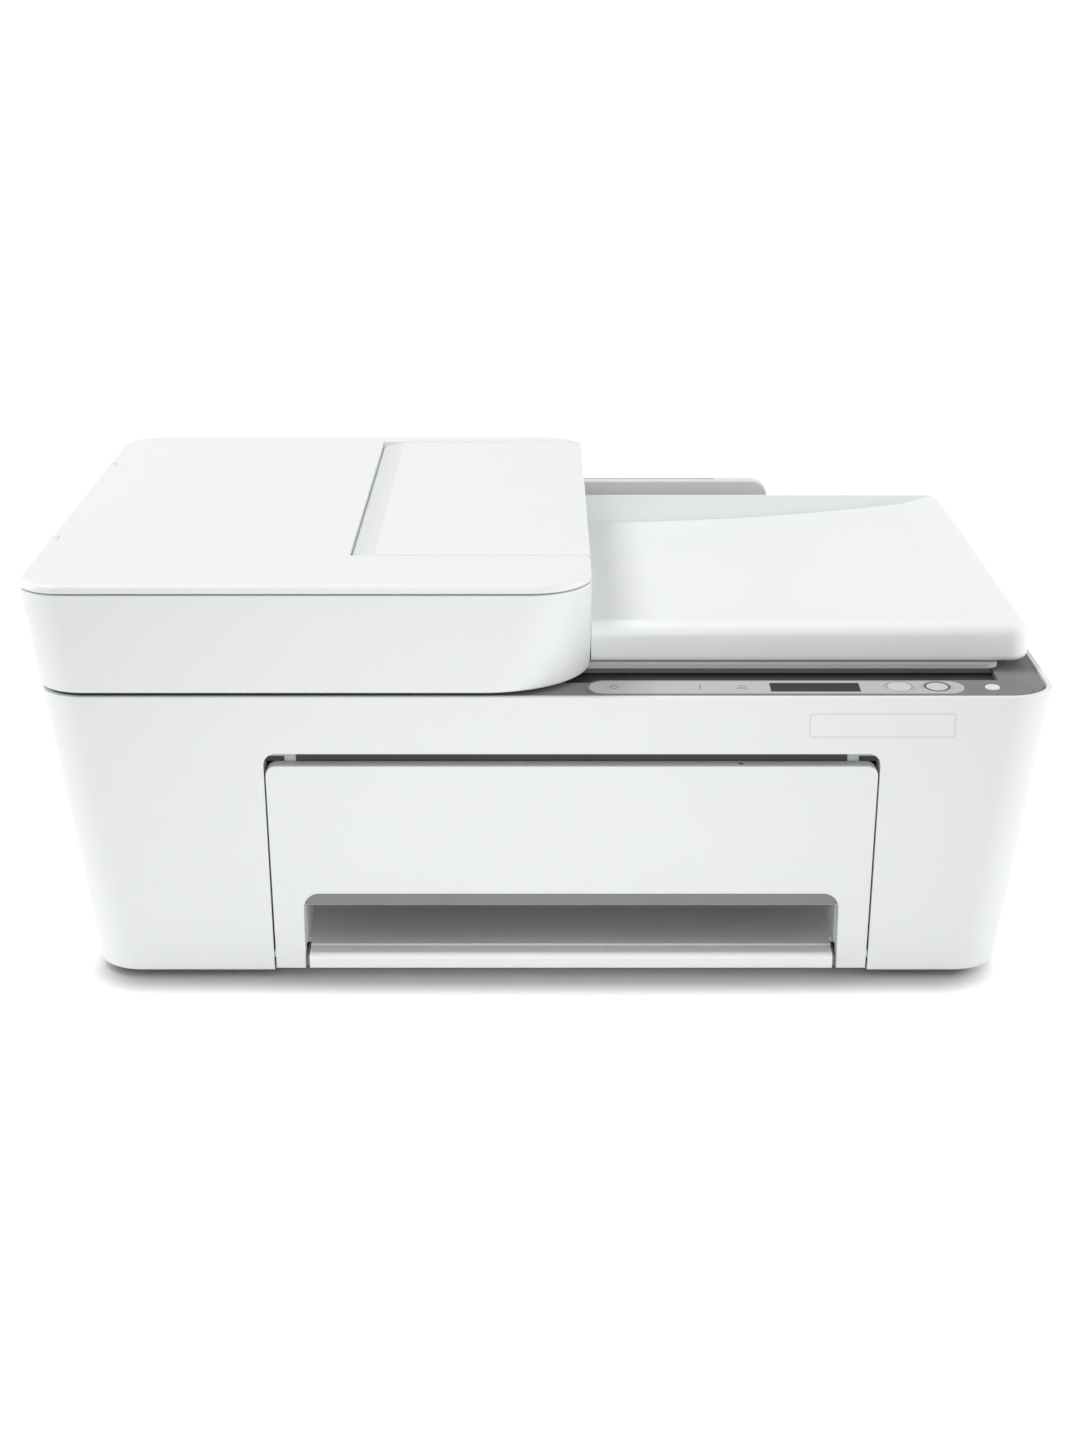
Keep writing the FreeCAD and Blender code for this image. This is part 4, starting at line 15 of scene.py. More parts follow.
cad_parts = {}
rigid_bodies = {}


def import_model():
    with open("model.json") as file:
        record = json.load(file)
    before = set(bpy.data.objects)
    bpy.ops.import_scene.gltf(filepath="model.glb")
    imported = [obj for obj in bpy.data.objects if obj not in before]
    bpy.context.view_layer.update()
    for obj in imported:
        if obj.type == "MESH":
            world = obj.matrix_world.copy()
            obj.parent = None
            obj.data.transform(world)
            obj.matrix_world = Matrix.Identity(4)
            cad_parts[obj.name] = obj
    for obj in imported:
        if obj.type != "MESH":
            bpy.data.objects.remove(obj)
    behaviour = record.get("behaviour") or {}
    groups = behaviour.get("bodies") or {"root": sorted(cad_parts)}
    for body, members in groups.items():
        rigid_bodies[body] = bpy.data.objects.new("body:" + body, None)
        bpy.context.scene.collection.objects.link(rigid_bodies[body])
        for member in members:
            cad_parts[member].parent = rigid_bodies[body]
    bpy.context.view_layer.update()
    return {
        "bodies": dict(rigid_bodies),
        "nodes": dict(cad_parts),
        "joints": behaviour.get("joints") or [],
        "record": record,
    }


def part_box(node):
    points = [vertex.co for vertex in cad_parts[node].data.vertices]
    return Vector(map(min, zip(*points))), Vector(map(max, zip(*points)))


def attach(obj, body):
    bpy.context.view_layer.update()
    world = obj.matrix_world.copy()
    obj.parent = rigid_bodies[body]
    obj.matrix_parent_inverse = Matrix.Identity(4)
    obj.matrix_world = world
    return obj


LOG = logging.getLogger("printer")
MM = 0.001
NOISE_MIDDLE = 0.5
WHITE_LIGHT = (1.0, 1.0, 1.0, 1.0)
# Turns a plate that lies flat to face the front.
STAND = Matrix.Rotation(math.pi / 2, 4, "X")
Colour = tuple[float, float, float]
Place = tuple[float, float, float]


class Body(Enum):
    """Moving groups that a new piece can ride on."""

    BASE = "base"
    LID = "scanner_lid"
    FLAP = "document_flap"
    DOOR = "door"
    CARRIAGE = "print_carriage"
    STOP_KEY = "stop_key"
    START_KEY = "start_key"


class Slot(Enum):
    """Material slots of the record."""

    WHITE_SHELL = "white_shell"
    TRAY = "tray_white"
    DECK = "deck_grey"
    PANEL = "panel_grey"
    PANEL_LIGHT = "panel_light"
    DISPLAY = "display_dark"
    BUTTON = "button_light"
    SUPPORT = "support_grey"
    INNER_GREY = "inner_grey"
    INNER = "inner_black"
    CARTRIDGE = "cartridge_dark"
    RUBBER = "soft_rubber"
    ZINC = "zinc_steel"
    GROUND = "ground_steel"
    GEAR = "gear_plastic"
    BRASS = "pinion_brass"
    BOARD = "board_green"
    GLASS = "clear_glass"
    FILM = "film_clear"
    PAD = "pad_white"


class Shared(Enum):
    """Shader node groups that several finishes use."""

    TONE_DRIFT = "tone_drift"
    SHEEN_DRIFT = "sheen_drift"
    MOULD_GRAIN = "mould_grain"
    DRAWN_LINES = "drawn_lines"


class Socket(Enum):
    """Kinds of socket on a shared group."""

    VALUE = "NodeSocketFloat"
    COLOUR = "NodeSocketColor"
    VECTOR = "NodeSocketVector"


class Graph:
    """A hand for placing and wiring shader nodes in one tree."""

    def __init__(self, tree: bpy.types.NodeTree) -> None:
        """Keep the tree that the nodes go in."""
        self.tree = tree

    def node(self, kind: str, inputs: dict[str | int, Any] | None = None,
             **settings: Any) -> bpy.types.Node:
        """Add a node.

        Args:
            kind: Blender's name for the node type.
            inputs: Values or sockets for its inputs, by name or number.
            settings: Values for its own properties.

        Returns:
            The new node.
        """
        node = self.tree.nodes.new(kind)
        for name, value in settings.items():
            setattr(node, name, value)
        self.wire(node, inputs or {})
        return node

    def wire(self, node: bpy.types.Node, inputs: dict[str | int, Any]) -> None:
        """Feed several inputs of a node.

        Args:
            node: The node.
            inputs: Values or sockets for its inputs, by name or number.
        """
        for name, value in inputs.items():
            self.feed(node.inputs[name], value)

    def feed(self, socket: bpy.types.NodeSocket, value: Any) -> None:
        """Give an input a constant, or a link from another node's output.

        Args:
            socket: The input.
            value: The constant or the output socket.
        """
        if isinstance(value, bpy.types.NodeSocket):
            self.tree.links.new(value, socket)
        else:
            socket.default_value = value

    def math(self, operation: str, first: Any, second: Any = 0.0) -> bpy.types.NodeSocket:
        """Add a Math node.

        Args:
            operation: The node's operation.
            first: Its first value or socket.
            second: Its second value or socket.

        Returns:
            The result socket.
        """
        node = self.node("ShaderNodeMath", {0: first, 1: second}, operation=operation)
        return node.outputs[0]

    def place(self) -> bpy.types.NodeSocket:
        """The piece's own coordinates in metres."""
        return self.node("ShaderNodeTexCoord").outputs["Object"]

    def seen(self) -> bpy.types.NodeSocket:
        """Tell the rays that make the picture from those that only carry light.

        Returns:
            A socket that is 1 for camera, glossy and transmission rays.
        """
        path = self.node("ShaderNodeLightPath")
        seen = self.math("MAXIMUM", path.outputs["Is Camera Ray"], path.outputs["Is Glossy Ray"])
        return self.math("MAXIMUM", seen, path.outputs["Is Transmission Ray"])


class GroupShelf:
    """Builds each shared node group once."""

    def __init__(self) -> None:
        """Start with an empty shelf."""
        self.made: dict[Shared, bpy.types.NodeTree] = {}
        self.makers: dict[Shared, Callable[[], bpy.types.NodeTree]] = {
            Shared.TONE_DRIFT: self.tone_drift,
            Shared.SHEEN_DRIFT: self.sheen_drift,
            Shared.MOULD_GRAIN: self.mould_grain,
            Shared.DRAWN_LINES: self.drawn_lines,
        }

    def take(self, which: Shared) -> bpy.types.NodeTree:
        """Give a group, made at its first use.

        Args:
            which: The group's name.

        Returns:
            The group.
        """
        if which not in self.made:
            self.made[which] = self.makers[which]()
        return self.made[which]

    def start(self, which: Shared, inputs: dict[str, Socket], output: tuple[str, Socket]
              ) -> tuple[Graph, bpy.types.Node, bpy.types.NodeSocket]:
        """Open a new group.

        Args:
            which: The group's name.
            inputs: Socket kinds by input name.
            output: Name and socket kind of its output.

        Returns:
            The graph, the group's input node and its output socket.
        """
        tree = bpy.data.node_groups.new(which.value, "ShaderNodeTree")
        for name, kind in inputs.items():
            tree.interface.new_socket(name, in_out="INPUT", socket_type=kind.value)
        tree.interface.new_socket(output[0], in_out="OUTPUT", socket_type=output[1].value)
        graph = Graph(tree)
        inward = graph.node("NodeGroupInput")
        outward = graph.node("NodeGroupOutput")
        return graph, inward, outward.inputs[0]

    @staticmethod
    def wander(graph: Graph, inward: bpy.types.Node, reach: str, detail: float,
               roughness: float) -> bpy.types.NodeSocket:
        """Make a value that wanders about zero over the surface.

        Args:
            graph: The group's graph.
            inward: The group's input node.
            reach: The name of the input that says how far it wanders.
            detail: The noise's detail.
            roughness: The noise's roughness.

        Returns:
            The value's socket.
        """
        cloud = graph.node("ShaderNodeTexNoise", {
            "Vector": graph.place(), "Scale": inward.outputs["Scale"], "Detail": detail,
            "Roughness": roughness})
        swing = graph.math("SUBTRACT", cloud.outputs[0], NOISE_MIDDLE)
        return graph.math("MULTIPLY", swing, inward.outputs[reach])

    def tone_drift(self) -> bpy.types.NodeTree:
        """Build a colour that drifts a little lighter and darker over the surface.

        Returns:
            The group.
        """
        kinds = {"Color": Socket.COLOUR, "Amount": Socket.VALUE, "Scale": Socket.VALUE}
        graph, inward, out = self.start(Shared.TONE_DRIFT, kinds, ("Color", Socket.COLOUR))
        swing = self.wander(graph, inward, "Amount", detail=4.0, roughness=0.55)
        shift = graph.node("ShaderNodeHueSaturation", {
            "Color": inward.outputs["Color"], "Value": graph.math("ADD", swing, 1.0)})
        graph.feed(out, shift.outputs[0])
        return graph.tree

    def sheen_drift(self) -> bpy.types.NodeTree:
        """Build a roughness that wanders where a surface was handled and wiped.

        Returns:
            The group.
        """
        kinds = {"Roughness": Socket.VALUE, "Spread": Socket.VALUE, "Scale": Socket.VALUE}
        graph, inward, out = self.start(Shared.SHEEN_DRIFT, kinds, ("Roughness", Socket.VALUE))
        swing = self.wander(graph, inward, "Spread", detail=5.0, roughness=0.6)
        graph.feed(out, graph.math("ADD", swing, inward.outputs["Roughness"]))
        return graph.tree

    def mould_grain(self) -> bpy.types.NodeTree:
        """Build the fine pebbled skin that an eroded mould leaves, as a height.

        Returns:
            The group.
        """
        kinds = {"Scale": Socket.VALUE}
        graph, inward, out = self.start(Shared.MOULD_GRAIN, kinds, ("Height", Socket.VALUE))
        place = graph.place()
        pebble = graph.node("ShaderNodeTexVoronoi", {
            "Vector": place, "Scale": inward.outputs["Scale"], "Smoothness": 0.8}, feature="SMOOTH_F1")
        haze = graph.node("ShaderNodeTexNoise", {
            "Vector": place, "Scale": inward.outputs["Scale"], "Detail": 3.0})
        graph.feed(out, graph.math("ADD", pebble.outputs["Distance"], haze.outputs[0]))
        return graph.tree

    def drawn_lines(self) -> bpy.types.NodeTree:
        """Build the long fine lines of rolling, drawing or grinding, as a value about one half.

        Returns:
            The group.
        """
        kinds = {"Scale": Socket.VALUE, "Stretch": Socket.VECTOR}
        graph, inward, out = self.start(Shared.DRAWN_LINES, kinds, ("Value", Socket.VALUE))
        mapping = graph.node("ShaderNodeMapping", {
            "Vector": graph.place(), "Scale": inward.outputs["Stretch"]})
        lines = graph.node("ShaderNodeTexNoise", {
            "Vector": mapping.outputs[0], "Scale": inward.outputs["Scale"], "Detail": 4.0})
        graph.feed(out, lines.outputs[0])
        return graph.tree


GROUPS = GroupShelf()


class Finish:
    """Something that can make a material, once."""

    name: str
    made: ClassVar[dict[str, bpy.types.Material]] = {}

    def dress(self, graph: Graph, shader: bpy.types.Node) -> None:
        """Wire the finish into a fresh Principled shader."""
        raise NotImplementedError

    def material(self) -> bpy.types.Material:
        """Give the finish's material, made at its first use.

        Returns:
            The material.
        """
        if self.name not in self.made:
            material = bpy.data.materials.new(self.name)
            material.use_nodes = True
            graph = Graph(material.node_tree)
            self.dress(graph, material.node_tree.nodes["Principled BSDF"])
            self.made[self.name] = material
        return self.made[self.name]

    def group(self, graph: Graph, which: Shared, inputs: dict[str, Any]) -> bpy.types.NodeSocket:
        """Place a shared group in the material.

        Args:
            graph: The material's graph.
            which: The group.
            inputs: Its values, by name.

        Returns:
            The group's output socket.
        """
        node = graph.node("ShaderNodeGroup", inputs, node_tree=GROUPS.take(which))
        return node.outputs[0]

    def relief(self, graph: Graph, height: bpy.types.NodeSocket, depth: float) -> bpy.types.NodeSocket:
        """Turn a height into a bumped normal.

        Args:
            graph: The material's graph.
            height: The height socket, about 0 to 1.
            depth: Its real depth in metres.

        Returns:
            The normal socket.
        """
        bump = graph.node("ShaderNodeBump", {"Height": height, "Distance": depth})
        return bump.outputs["Normal"]


@dataclass(frozen=True)
class Moulding(Finish):
    """Moulded plastic or rubber with a fine grained skin."""

    name: str
    colour: Colour
    roughness: float = 0.45
    drift: float = 0.04
    drift_scale: float = 14.0
    spread: float = 0.12
    spread_scale: float = 70.0
    grain: float = 2600.0
    depth: float = 0.012 * MM
    specular: float = 0.5

    def dress(self, graph: Graph, shader: bpy.types.Node) -> None:
        """Wire colour drift, sheen drift and grain.

        Args:
            graph: The material's graph.
            shader: Its Principled shader.
        """
        colour = self.group(graph, Shared.TONE_DRIFT, {
            "Color": (*self.colour, 1.0), "Amount": self.drift, "Scale": self.drift_scale})
        sheen = self.group(graph, Shared.SHEEN_DRIFT, {
            "Roughness": self.roughness, "Spread": self.spread, "Scale": self.spread_scale})
        grain = self.group(graph, Shared.MOULD_GRAIN, {"Scale": self.grain})
        graph.wire(shader, {
            "Base Color": colour, "Roughness": sheen, "Normal": self.relief(graph, grain, self.depth),
            "Specular IOR Level": self.specular})


@dataclass(frozen=True)
class Metal(Finish):
    """Bare metal with drawn or rolled lines."""

    name: str
    colour: Colour
    roughness: float = 0.32
    spread: float = 0.2
    drift: float = 0.12
    drift_scale: float = 40.0
    lines: float = 900.0
    stretch: tuple[float, float, float] = (0.03, 1.0, 1.0)
    depth: float = 0.004 * MM

    def dress(self, graph: Graph, shader: bpy.types.Node) -> None:
        """Wire the lines into colour, roughness and normal.

        Args:
            graph: The material's graph.
            shader: Its Principled shader.
        """
        lines = self.group(graph, Shared.DRAWN_LINES, {"Scale": self.lines, "Stretch": self.stretch})
        colour = self.group(graph, Shared.TONE_DRIFT, {
            "Color": (*self.colour, 1.0), "Amount": self.drift, "Scale": self.drift_scale})
        swing = graph.math("MULTIPLY", graph.math("SUBTRACT", lines, NOISE_MIDDLE), self.spread)
        graph.wire(shader, {
            "Base Color": colour, "Roughness": graph.math("ADD", swing, self.roughness),
            "Metallic": 1.0, "Normal": self.relief(graph, lines, self.depth)})


@dataclass(frozen=True)
class ClearSheet(Finish):
    """Float glass or clear film."""

    name: str
    colour: Colour
    roughness: float = 0.03
    spread_scale: float = 30.0
    drift: float = 0.02
    drift_scale: float = 6.0
    index: float = 1.5

    def dress(self, graph: Graph, shader: bpy.types.Node) -> None:
        """Wire a faint tint and wiping marks.

        Args:
            graph: The material's graph.
            shader: Its Principled shader.
        """
        sheen = self.group(graph, Shared.SHEEN_DRIFT, {
            "Roughness": self.roughness, "Spread": self.roughness, "Scale": self.spread_scale})
        colour = self.group(graph, Shared.TONE_DRIFT, {
            "Color": (*self.colour, 1.0), "Amount": self.drift, "Scale": self.drift_scale})
        graph.wire(shader, {
            "Base Color": colour, "Roughness": sheen, "Transmission Weight": 1.0, "IOR": self.index})


@dataclass(frozen=True)
class CircuitBoard(Finish):
    """Solder mask over copper tracks."""

    name: str
    mask: Colour
    track: Colour
    pitch: float = 420.0
    line: float = 0.06
    roughness: float = 0.35
    spread: float = 0.2
    spread_scale: float = 60.0
    depth: float = 0.02 * MM

    def dress(self, graph: Graph, shader: bpy.types.Node) -> None:
        """Wire brick-like tracks under the mask.

        Args:
            graph: The material's graph.
            shader: Its Principled shader.
        """
        tracks = graph.node("ShaderNodeTexBrick", {
            "Vector": graph.place(), "Color1": (*self.mask, 1.0), "Color2": (*self.mask, 1.0),
            "Mortar": (*self.track, 1.0), "Scale": self.pitch, "Mortar Size": self.line})
        sheen = self.group(graph, Shared.SHEEN_DRIFT, {
            "Roughness": self.roughness, "Spread": self.spread, "Scale": self.spread_scale})
        graph.wire(shader, {
            "Base Color": tracks.outputs["Color"], "Roughness": sheen,
            "Normal": self.relief(graph, tracks.outputs["Fac"], self.depth)})


WHITE = Moulding("shell_white", (0.825, 0.85, 0.841), drift=0.012)
# A lighter copy of the shell white for the tray extender: painted light on the low front lip.
EXTENDER_PAINTED_LIGHT = Moulding("extender_painted_light", (0.91, 0.93, 0.922), drift=0.012)
TRAY_WHITE = Moulding("tray_white", (0.88, 0.905, 0.896), drift=0.012)
DECK = Moulding("deck_grey", (0.23, 0.233, 0.232), roughness=0.6, specular=0.15)
PANEL = Moulding("panel_grey", (0.217, 0.22, 0.219), roughness=0.6, specular=0.15)
PANEL_LIGHT = Moulding("panel_light", (0.5, 0.512, 0.508), roughness=0.5, drift=0.02, specular=0.2)
DISPLAY = Moulding("display_dark", (0.022, 0.023, 0.024), roughness=0.3, depth=0.002 * MM, specular=0.08)
BUTTON = Moulding("button_light", (0.6, 0.612, 0.606), roughness=0.4, drift=0.02, specular=0.3)
SUPPORT = Moulding("support_grey", (0.76, 0.777, 0.77), roughness=0.5)
# Lighter than the interior's grey plastic, to make up for the little light that reaches inside: partly its
# own grey, partly painted light; the exit floor's grey below likewise.
INNER_GREY = Moulding("inner_grey", (0.86, 0.88, 0.87), roughness=0.55)
FLOOR_GREY = Moulding("exit_floor_grey", (0.75, 0.765, 0.76), roughness=0.6, specular=0.25)
PLATE_GREY = Moulding("plate_grey", (0.53, 0.54, 0.536), roughness=0.55, specular=0.3)
RAIL_GREY = Moulding("rail_grey", (0.122, 0.124, 0.123), roughness=0.55, specular=0.3)
INNER = Moulding("inner_black", (0.03, 0.03, 0.032), roughness=0.55, drift=0.15)
CARTRIDGE = Moulding("cartridge_dark", (0.045, 0.045, 0.05), roughness=0.38, drift=0.1)
RUBBER = Moulding("soft_rubber", (0.035, 0.035, 0.036), roughness=0.8, drift=0.2, depth=0.03 * MM)
ZINC = Metal("zinc_steel", (0.62, 0.63, 0.64), roughness=0.38)
GROUND = Metal("ground_steel", (0.66, 0.665, 0.67), roughness=0.2)
GEAR = Moulding("gear_plastic", (0.74, 0.72, 0.66), roughness=0.42)
BRASS = Metal("pinion_brass", (0.72, 0.52, 0.22), roughness=0.3)
BOARD = CircuitBoard("board_green", (0.02, 0.13, 0.05), (0.05, 0.24, 0.10))
GLASS = ClearSheet("clear_glass", (0.94, 0.97, 0.96))
FILM = ClearSheet("film_clear", (0.8, 0.82, 0.83), roughness=0.12, index=1.45)
PAD = Moulding("pad_white", (0.84, 0.84, 0.83), roughness=0.6)
POWER = Moulding("power_key_white", (0.8, 0.8, 0.79), roughness=0.35, drift=0.02, specular=0.3)
PRINT_MID = Moulding("print_mid", (0.25, 0.255, 0.253), roughness=0.5, specular=0.3)
PRINT_DARK = Moulding("print_dark", (0.1, 0.1, 0.102), roughness=0.5, specular=0.3)
# Dark grey of the exit's side stops and the black cartridge's label; on the trim under the slot's top edge
# it is painted shade.
GREY_AND_PAINTED_SHADE = Moulding("grey_and_painted_shade", (0.262, 0.264, 0.264), roughness=0.6, specular=0.2)
# Darker than the shell white: painted shade on the flap's groove ramp; its roughness and bump are the matt
# skin.
GRIP_PAINTED_SHADE = Moulding("grip_painted_shade", (0.76, 0.782, 0.773), roughness=0.7, depth=0.03 * MM, specular=0.2)
CYAN = Moulding("ink_cyan", (0.02, 0.36, 0.62), roughness=0.4)
MAGENTA = Moulding("ink_magenta", (0.6, 0.03, 0.25), roughness=0.4)
YELLOW = Moulding("ink_yellow", (0.85, 0.62, 0.03), roughness=0.4)
PLATE_EDGE = Moulding("plate_edge", (0.72, 0.725, 0.722), roughness=0.5, drift=0.02)
# Near-black strip in the deck's gutter: painted shade under the lid's front edge.
GUTTER_SHADE = Moulding("gutter_painted_shade", (0.06, 0.06, 0.06), roughness=0.85, drift=0.2, specular=0.1)

SLOT_FINISH: dict[Slot, Finish] = {
    Slot.WHITE_SHELL: WHITE, Slot.TRAY: TRAY_WHITE, Slot.DECK: DECK, Slot.PANEL: PANEL,
    Slot.PANEL_LIGHT: PANEL_LIGHT, Slot.DISPLAY: DISPLAY, Slot.BUTTON: BUTTON, Slot.SUPPORT: SUPPORT,
    Slot.INNER_GREY: INNER_GREY, Slot.INNER: INNER, Slot.CARTRIDGE: CARTRIDGE, Slot.RUBBER: RUBBER,
    Slot.ZINC: ZINC, Slot.GROUND: GROUND, Slot.GEAR: GEAR, Slot.BRASS: BRASS, Slot.BOARD: BOARD,
    Slot.GLASS: GLASS, Slot.FILM: FILM, Slot.PAD: PAD,
}
NODE_FINISH: dict[str, Finish] = {
    "power_button": POWER, "bay_rail": RAIL_GREY, "lid_plate": PLATE_GREY,
    "tray_extender": EXTENDER_PAINTED_LIGHT, "exit_floor": FLOOR_GREY,
}


@dataclass
class Facets:
    """Shades the construction's curved faces smoothly and keeps its edges crisp."""

    weld: float = 0.005 * MM
    crease: float = math.radians(28)
    flat_weight: int = 60
    name: str = "smooth_by_crease"

    def group(self) -> bpy.types.NodeTree:
        """Give the geometry nodes that weld and shade, made at first use.

        Returns:
            The geometry node group.
        """
        known = bpy.data.node_groups.get(self.name)
        if known is not None:
            return known
        tree = bpy.data.node_groups.new(self.name, "GeometryNodeTree")
        tree.interface.new_socket("Geometry", in_out="INPUT", socket_type="NodeSocketGeometry")
        tree.interface.new_socket("Geometry", in_out="OUTPUT", socket_type="NodeSocketGeometry")
        graph = Graph(tree)
        source = graph.node("NodeGroupInput")
        welded = graph.node("GeometryNodeMergeByDistance", {
            "Geometry": source.outputs[0], "Distance": self.weld})
        smooth = graph.node("GeometryNodeSetShadeSmooth", {
            "Geometry": welded.outputs[0], "Shade Smooth": True}, domain="FACE")
        angle = graph.node("GeometryNodeInputMeshEdgeAngle")
        sharp = graph.node("FunctionNodeCompare", {
            0: angle.outputs["Unsigned Angle"], 1: self.crease}, operation="GREATER_THAN")
        edged = graph.node("GeometryNodeSetShadeSmooth", {
            "Geometry": smooth.outputs[0], "Selection": sharp.outputs[0], "Shade Smooth": False},
            domain="EDGE")
        outlet = graph.node("NodeGroupOutput")
        graph.feed(outlet.inputs[0], edged.outputs[0])
        return tree

    def shade(self, piece: bpy.types.Object) -> None:
        """Add the shading modifiers to a piece, so that large flats keep their own normal.

        Args:
            piece: The piece.
        """
        creases = piece.modifiers.new("crease_shading", "NODES")
        creases.node_group = self.group()
        weights = piece.modifiers.new("flat_weight", "WEIGHTED_NORMAL")
        weights.mode = "FACE_AREA"
        weights.weight = self.flat_weight
        weights.keep_sharp = True


@dataclass
class Construction:
    """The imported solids, each with its finish."""

    frame: dict[str, Any]

    def dress(self, facets: Facets) -> None:
        """Give every node its finish and smooth shading.

        Args:
            facets: The shading to use.
        """
        for part in self.frame["record"]["subparts"]:
            node = self.frame["nodes"][part["node"]]
            slot = Slot(part["material_slot"])
            finish = NODE_FINISH.get(part["node"], SLOT_FINISH[slot])
            node.data.materials.clear()
            node.data.materials.append(finish.material())
            facets.shade(node)
            LOG.info("dressed %s in %s", part["node"], finish.name)


class Shape:
    """Small meshes, shaped about their own middle and standing on level zero."""

    corner_steps: ClassVar[int] = 8
    ease_steps: ClassVar[int] = 3
    top_share: ClassVar[float] = 0.99
    level: ClassVar[float] = 0.9
    merge: ClassVar[float] = 0.001 * MM

    @staticmethod
    def soften(mesh: BMesh, edges: list[bmesh.types.BMEdge], radius: float, steps: int) -> None:
        """Round some edges of a mesh in a few steps."""
        bmesh.ops.bevel(mesh, geom=edges, offset=radius, offset_type="OFFSET", segments=steps, profile=0.5,
                        affect="EDGES", material=-1, clamp_overlap=True)

    @staticmethod
    def slab(width: float, depth: float, height: float, corner: float, ease: float = 0.0) -> BMesh:
        """Make a plate with round plan corners.

        Args:
            width: Its size along X.
            depth: Its size along Y.
            height: Its thickness.
            corner: The round of its plan corners.
            ease: The round of its top edge, if any.

        Returns:
            The mesh.
        """
        mesh = bmesh.new()
        bmesh.ops.create_cube(mesh, size=1.0)
        bmesh.ops.scale(mesh, vec=(width, depth, height), verts=mesh.verts)
        bmesh.ops.translate(mesh, vec=(0.0, 0.0, height / 2), verts=mesh.verts)
        standing = [edge for edge in mesh.edges
                    if abs(edge.verts[0].co.z - edge.verts[1].co.z) > height / 2]
        Shape.soften(mesh, standing, corner, Shape.corner_steps)
        if ease:
            top = [edge for edge in mesh.edges
                   if min(vert.co.z for vert in edge.verts) > height * Shape.top_share]
            Shape.soften(mesh, top, ease, Shape.ease_steps)
        return mesh

    @staticmethod
    def ring(outer: float, inner: float, height: float, sides: int = 72) -> BMesh:
        """Make a flat ring.

        Args:
            outer: Its outer radius.
            inner: Its inner radius.
            height: Its thickness.
            sides: Facets round it.

        Returns:
            The mesh.
        """
        mesh = bmesh.new()
        for radius in (outer, inner):
            bmesh.ops.create_circle(mesh, cap_ends=False, radius=radius, segments=sides)
        flat = bmesh.ops.bridge_loops(mesh, edges=mesh.edges)["faces"]
        Shape.thicken(mesh, flat, height)
        return mesh

    @staticmethod
    def border(width: float, depth: float, height: float, corner: float, line: float) -> BMesh:
        """Make the outline of a plate as a raised line.

        Args:
            width: Its size along X.
            depth: Its size along Y.
            height: The line's thickness.
            corner: The round of its corners.
            line: The line's width.

        Returns:
            The mesh.
        """
        mesh = Shape.slab(width, depth, height, corner)
        flats = [face for face in mesh.faces if abs(face.normal.z) > Shape.level]
        bmesh.ops.inset_individual(mesh, faces=flats, thickness=line, use_even_offset=True)
        rims = [edge for face in flats for edge in face.edges]
        bmesh.ops.delete(mesh, geom=flats, context="FACES_ONLY")
        bmesh.ops.bridge_loops(mesh, edges=rims)
        return mesh

    @staticmethod
    def wedge(width: float, depth: float, rise: float, height: float) -> BMesh:
        """Make a wedge that starts in an edge on the left and is tallest on the right.

        Args:
            width: Its size along X.
            depth: Its size along Y.
            rise: How far its underside climbs to the right.
            height: Its height at the right, above its underside.

        Returns:
            The mesh.
        """
        mesh = bmesh.new()
        bmesh.ops.create_cube(mesh, size=1.0)
        right = [vert for vert in mesh.verts if vert.co.x > 0.0]
        upper = [vert for vert in right if vert.co.z > 0.0]
        bmesh.ops.scale(mesh, vec=(width, depth, 0.0), verts=mesh.verts)
        bmesh.ops.translate(mesh, vec=(0.0, 0.0, rise), verts=right)
        bmesh.ops.translate(mesh, vec=(0.0, 0.0, height), verts=upper)
        bmesh.ops.remove_doubles(mesh, verts=mesh.verts, dist=Shape.merge)
        return mesh

    @staticmethod
    def thicken(mesh: BMesh, faces: list[bmesh.types.BMFace], height: float) -> None:
        """Draw flat faces up into a solid of one height.

        Args:
            mesh: The mesh.
            faces: Its flat faces.
            height: The solid's height.
        """
        drawn = bmesh.ops.extrude_face_region(mesh, geom=faces, use_keep_orig=True)
        lifted = [item for item in drawn["geom"] if isinstance(item, bmesh.types.BMVert)]
        bmesh.ops.translate(mesh, vec=(0.0, 0.0, height), verts=lifted)


@dataclass
class SubAssembly:
    """A group of new pieces and the way they are put on the printer."""

    facets: Facets

    def build(self) -> None:
        """Build the pieces and put them on."""
        raise NotImplementedError

    def put(self, name: str, mesh: BMesh, finish: Finish, body: Body, place: Matrix) -> None:
        """Make a piece of a mesh and let it ride on a body.

        Args:
            name: The piece's name.
            mesh: Its mesh, which is used up.
            finish: Its finish.
            body: The body that carries it.
            place: Where the mesh goes in the shared frame.
        """
        bmesh.ops.transform(mesh, matrix=place, verts=mesh.verts)
        bmesh.ops.recalc_face_normals(mesh, faces=mesh.faces)
        data = bpy.data.meshes.new(name)
        mesh.to_mesh(data)
        mesh.free()
        data.materials.append(finish.material())
        piece = bpy.data.objects.new(name, data)
        bpy.context.scene.collection.objects.link(piece)
        self.facets.shade(piece)
        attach(piece, body.value)
        LOG.info("built %s on %s", name, body.value)


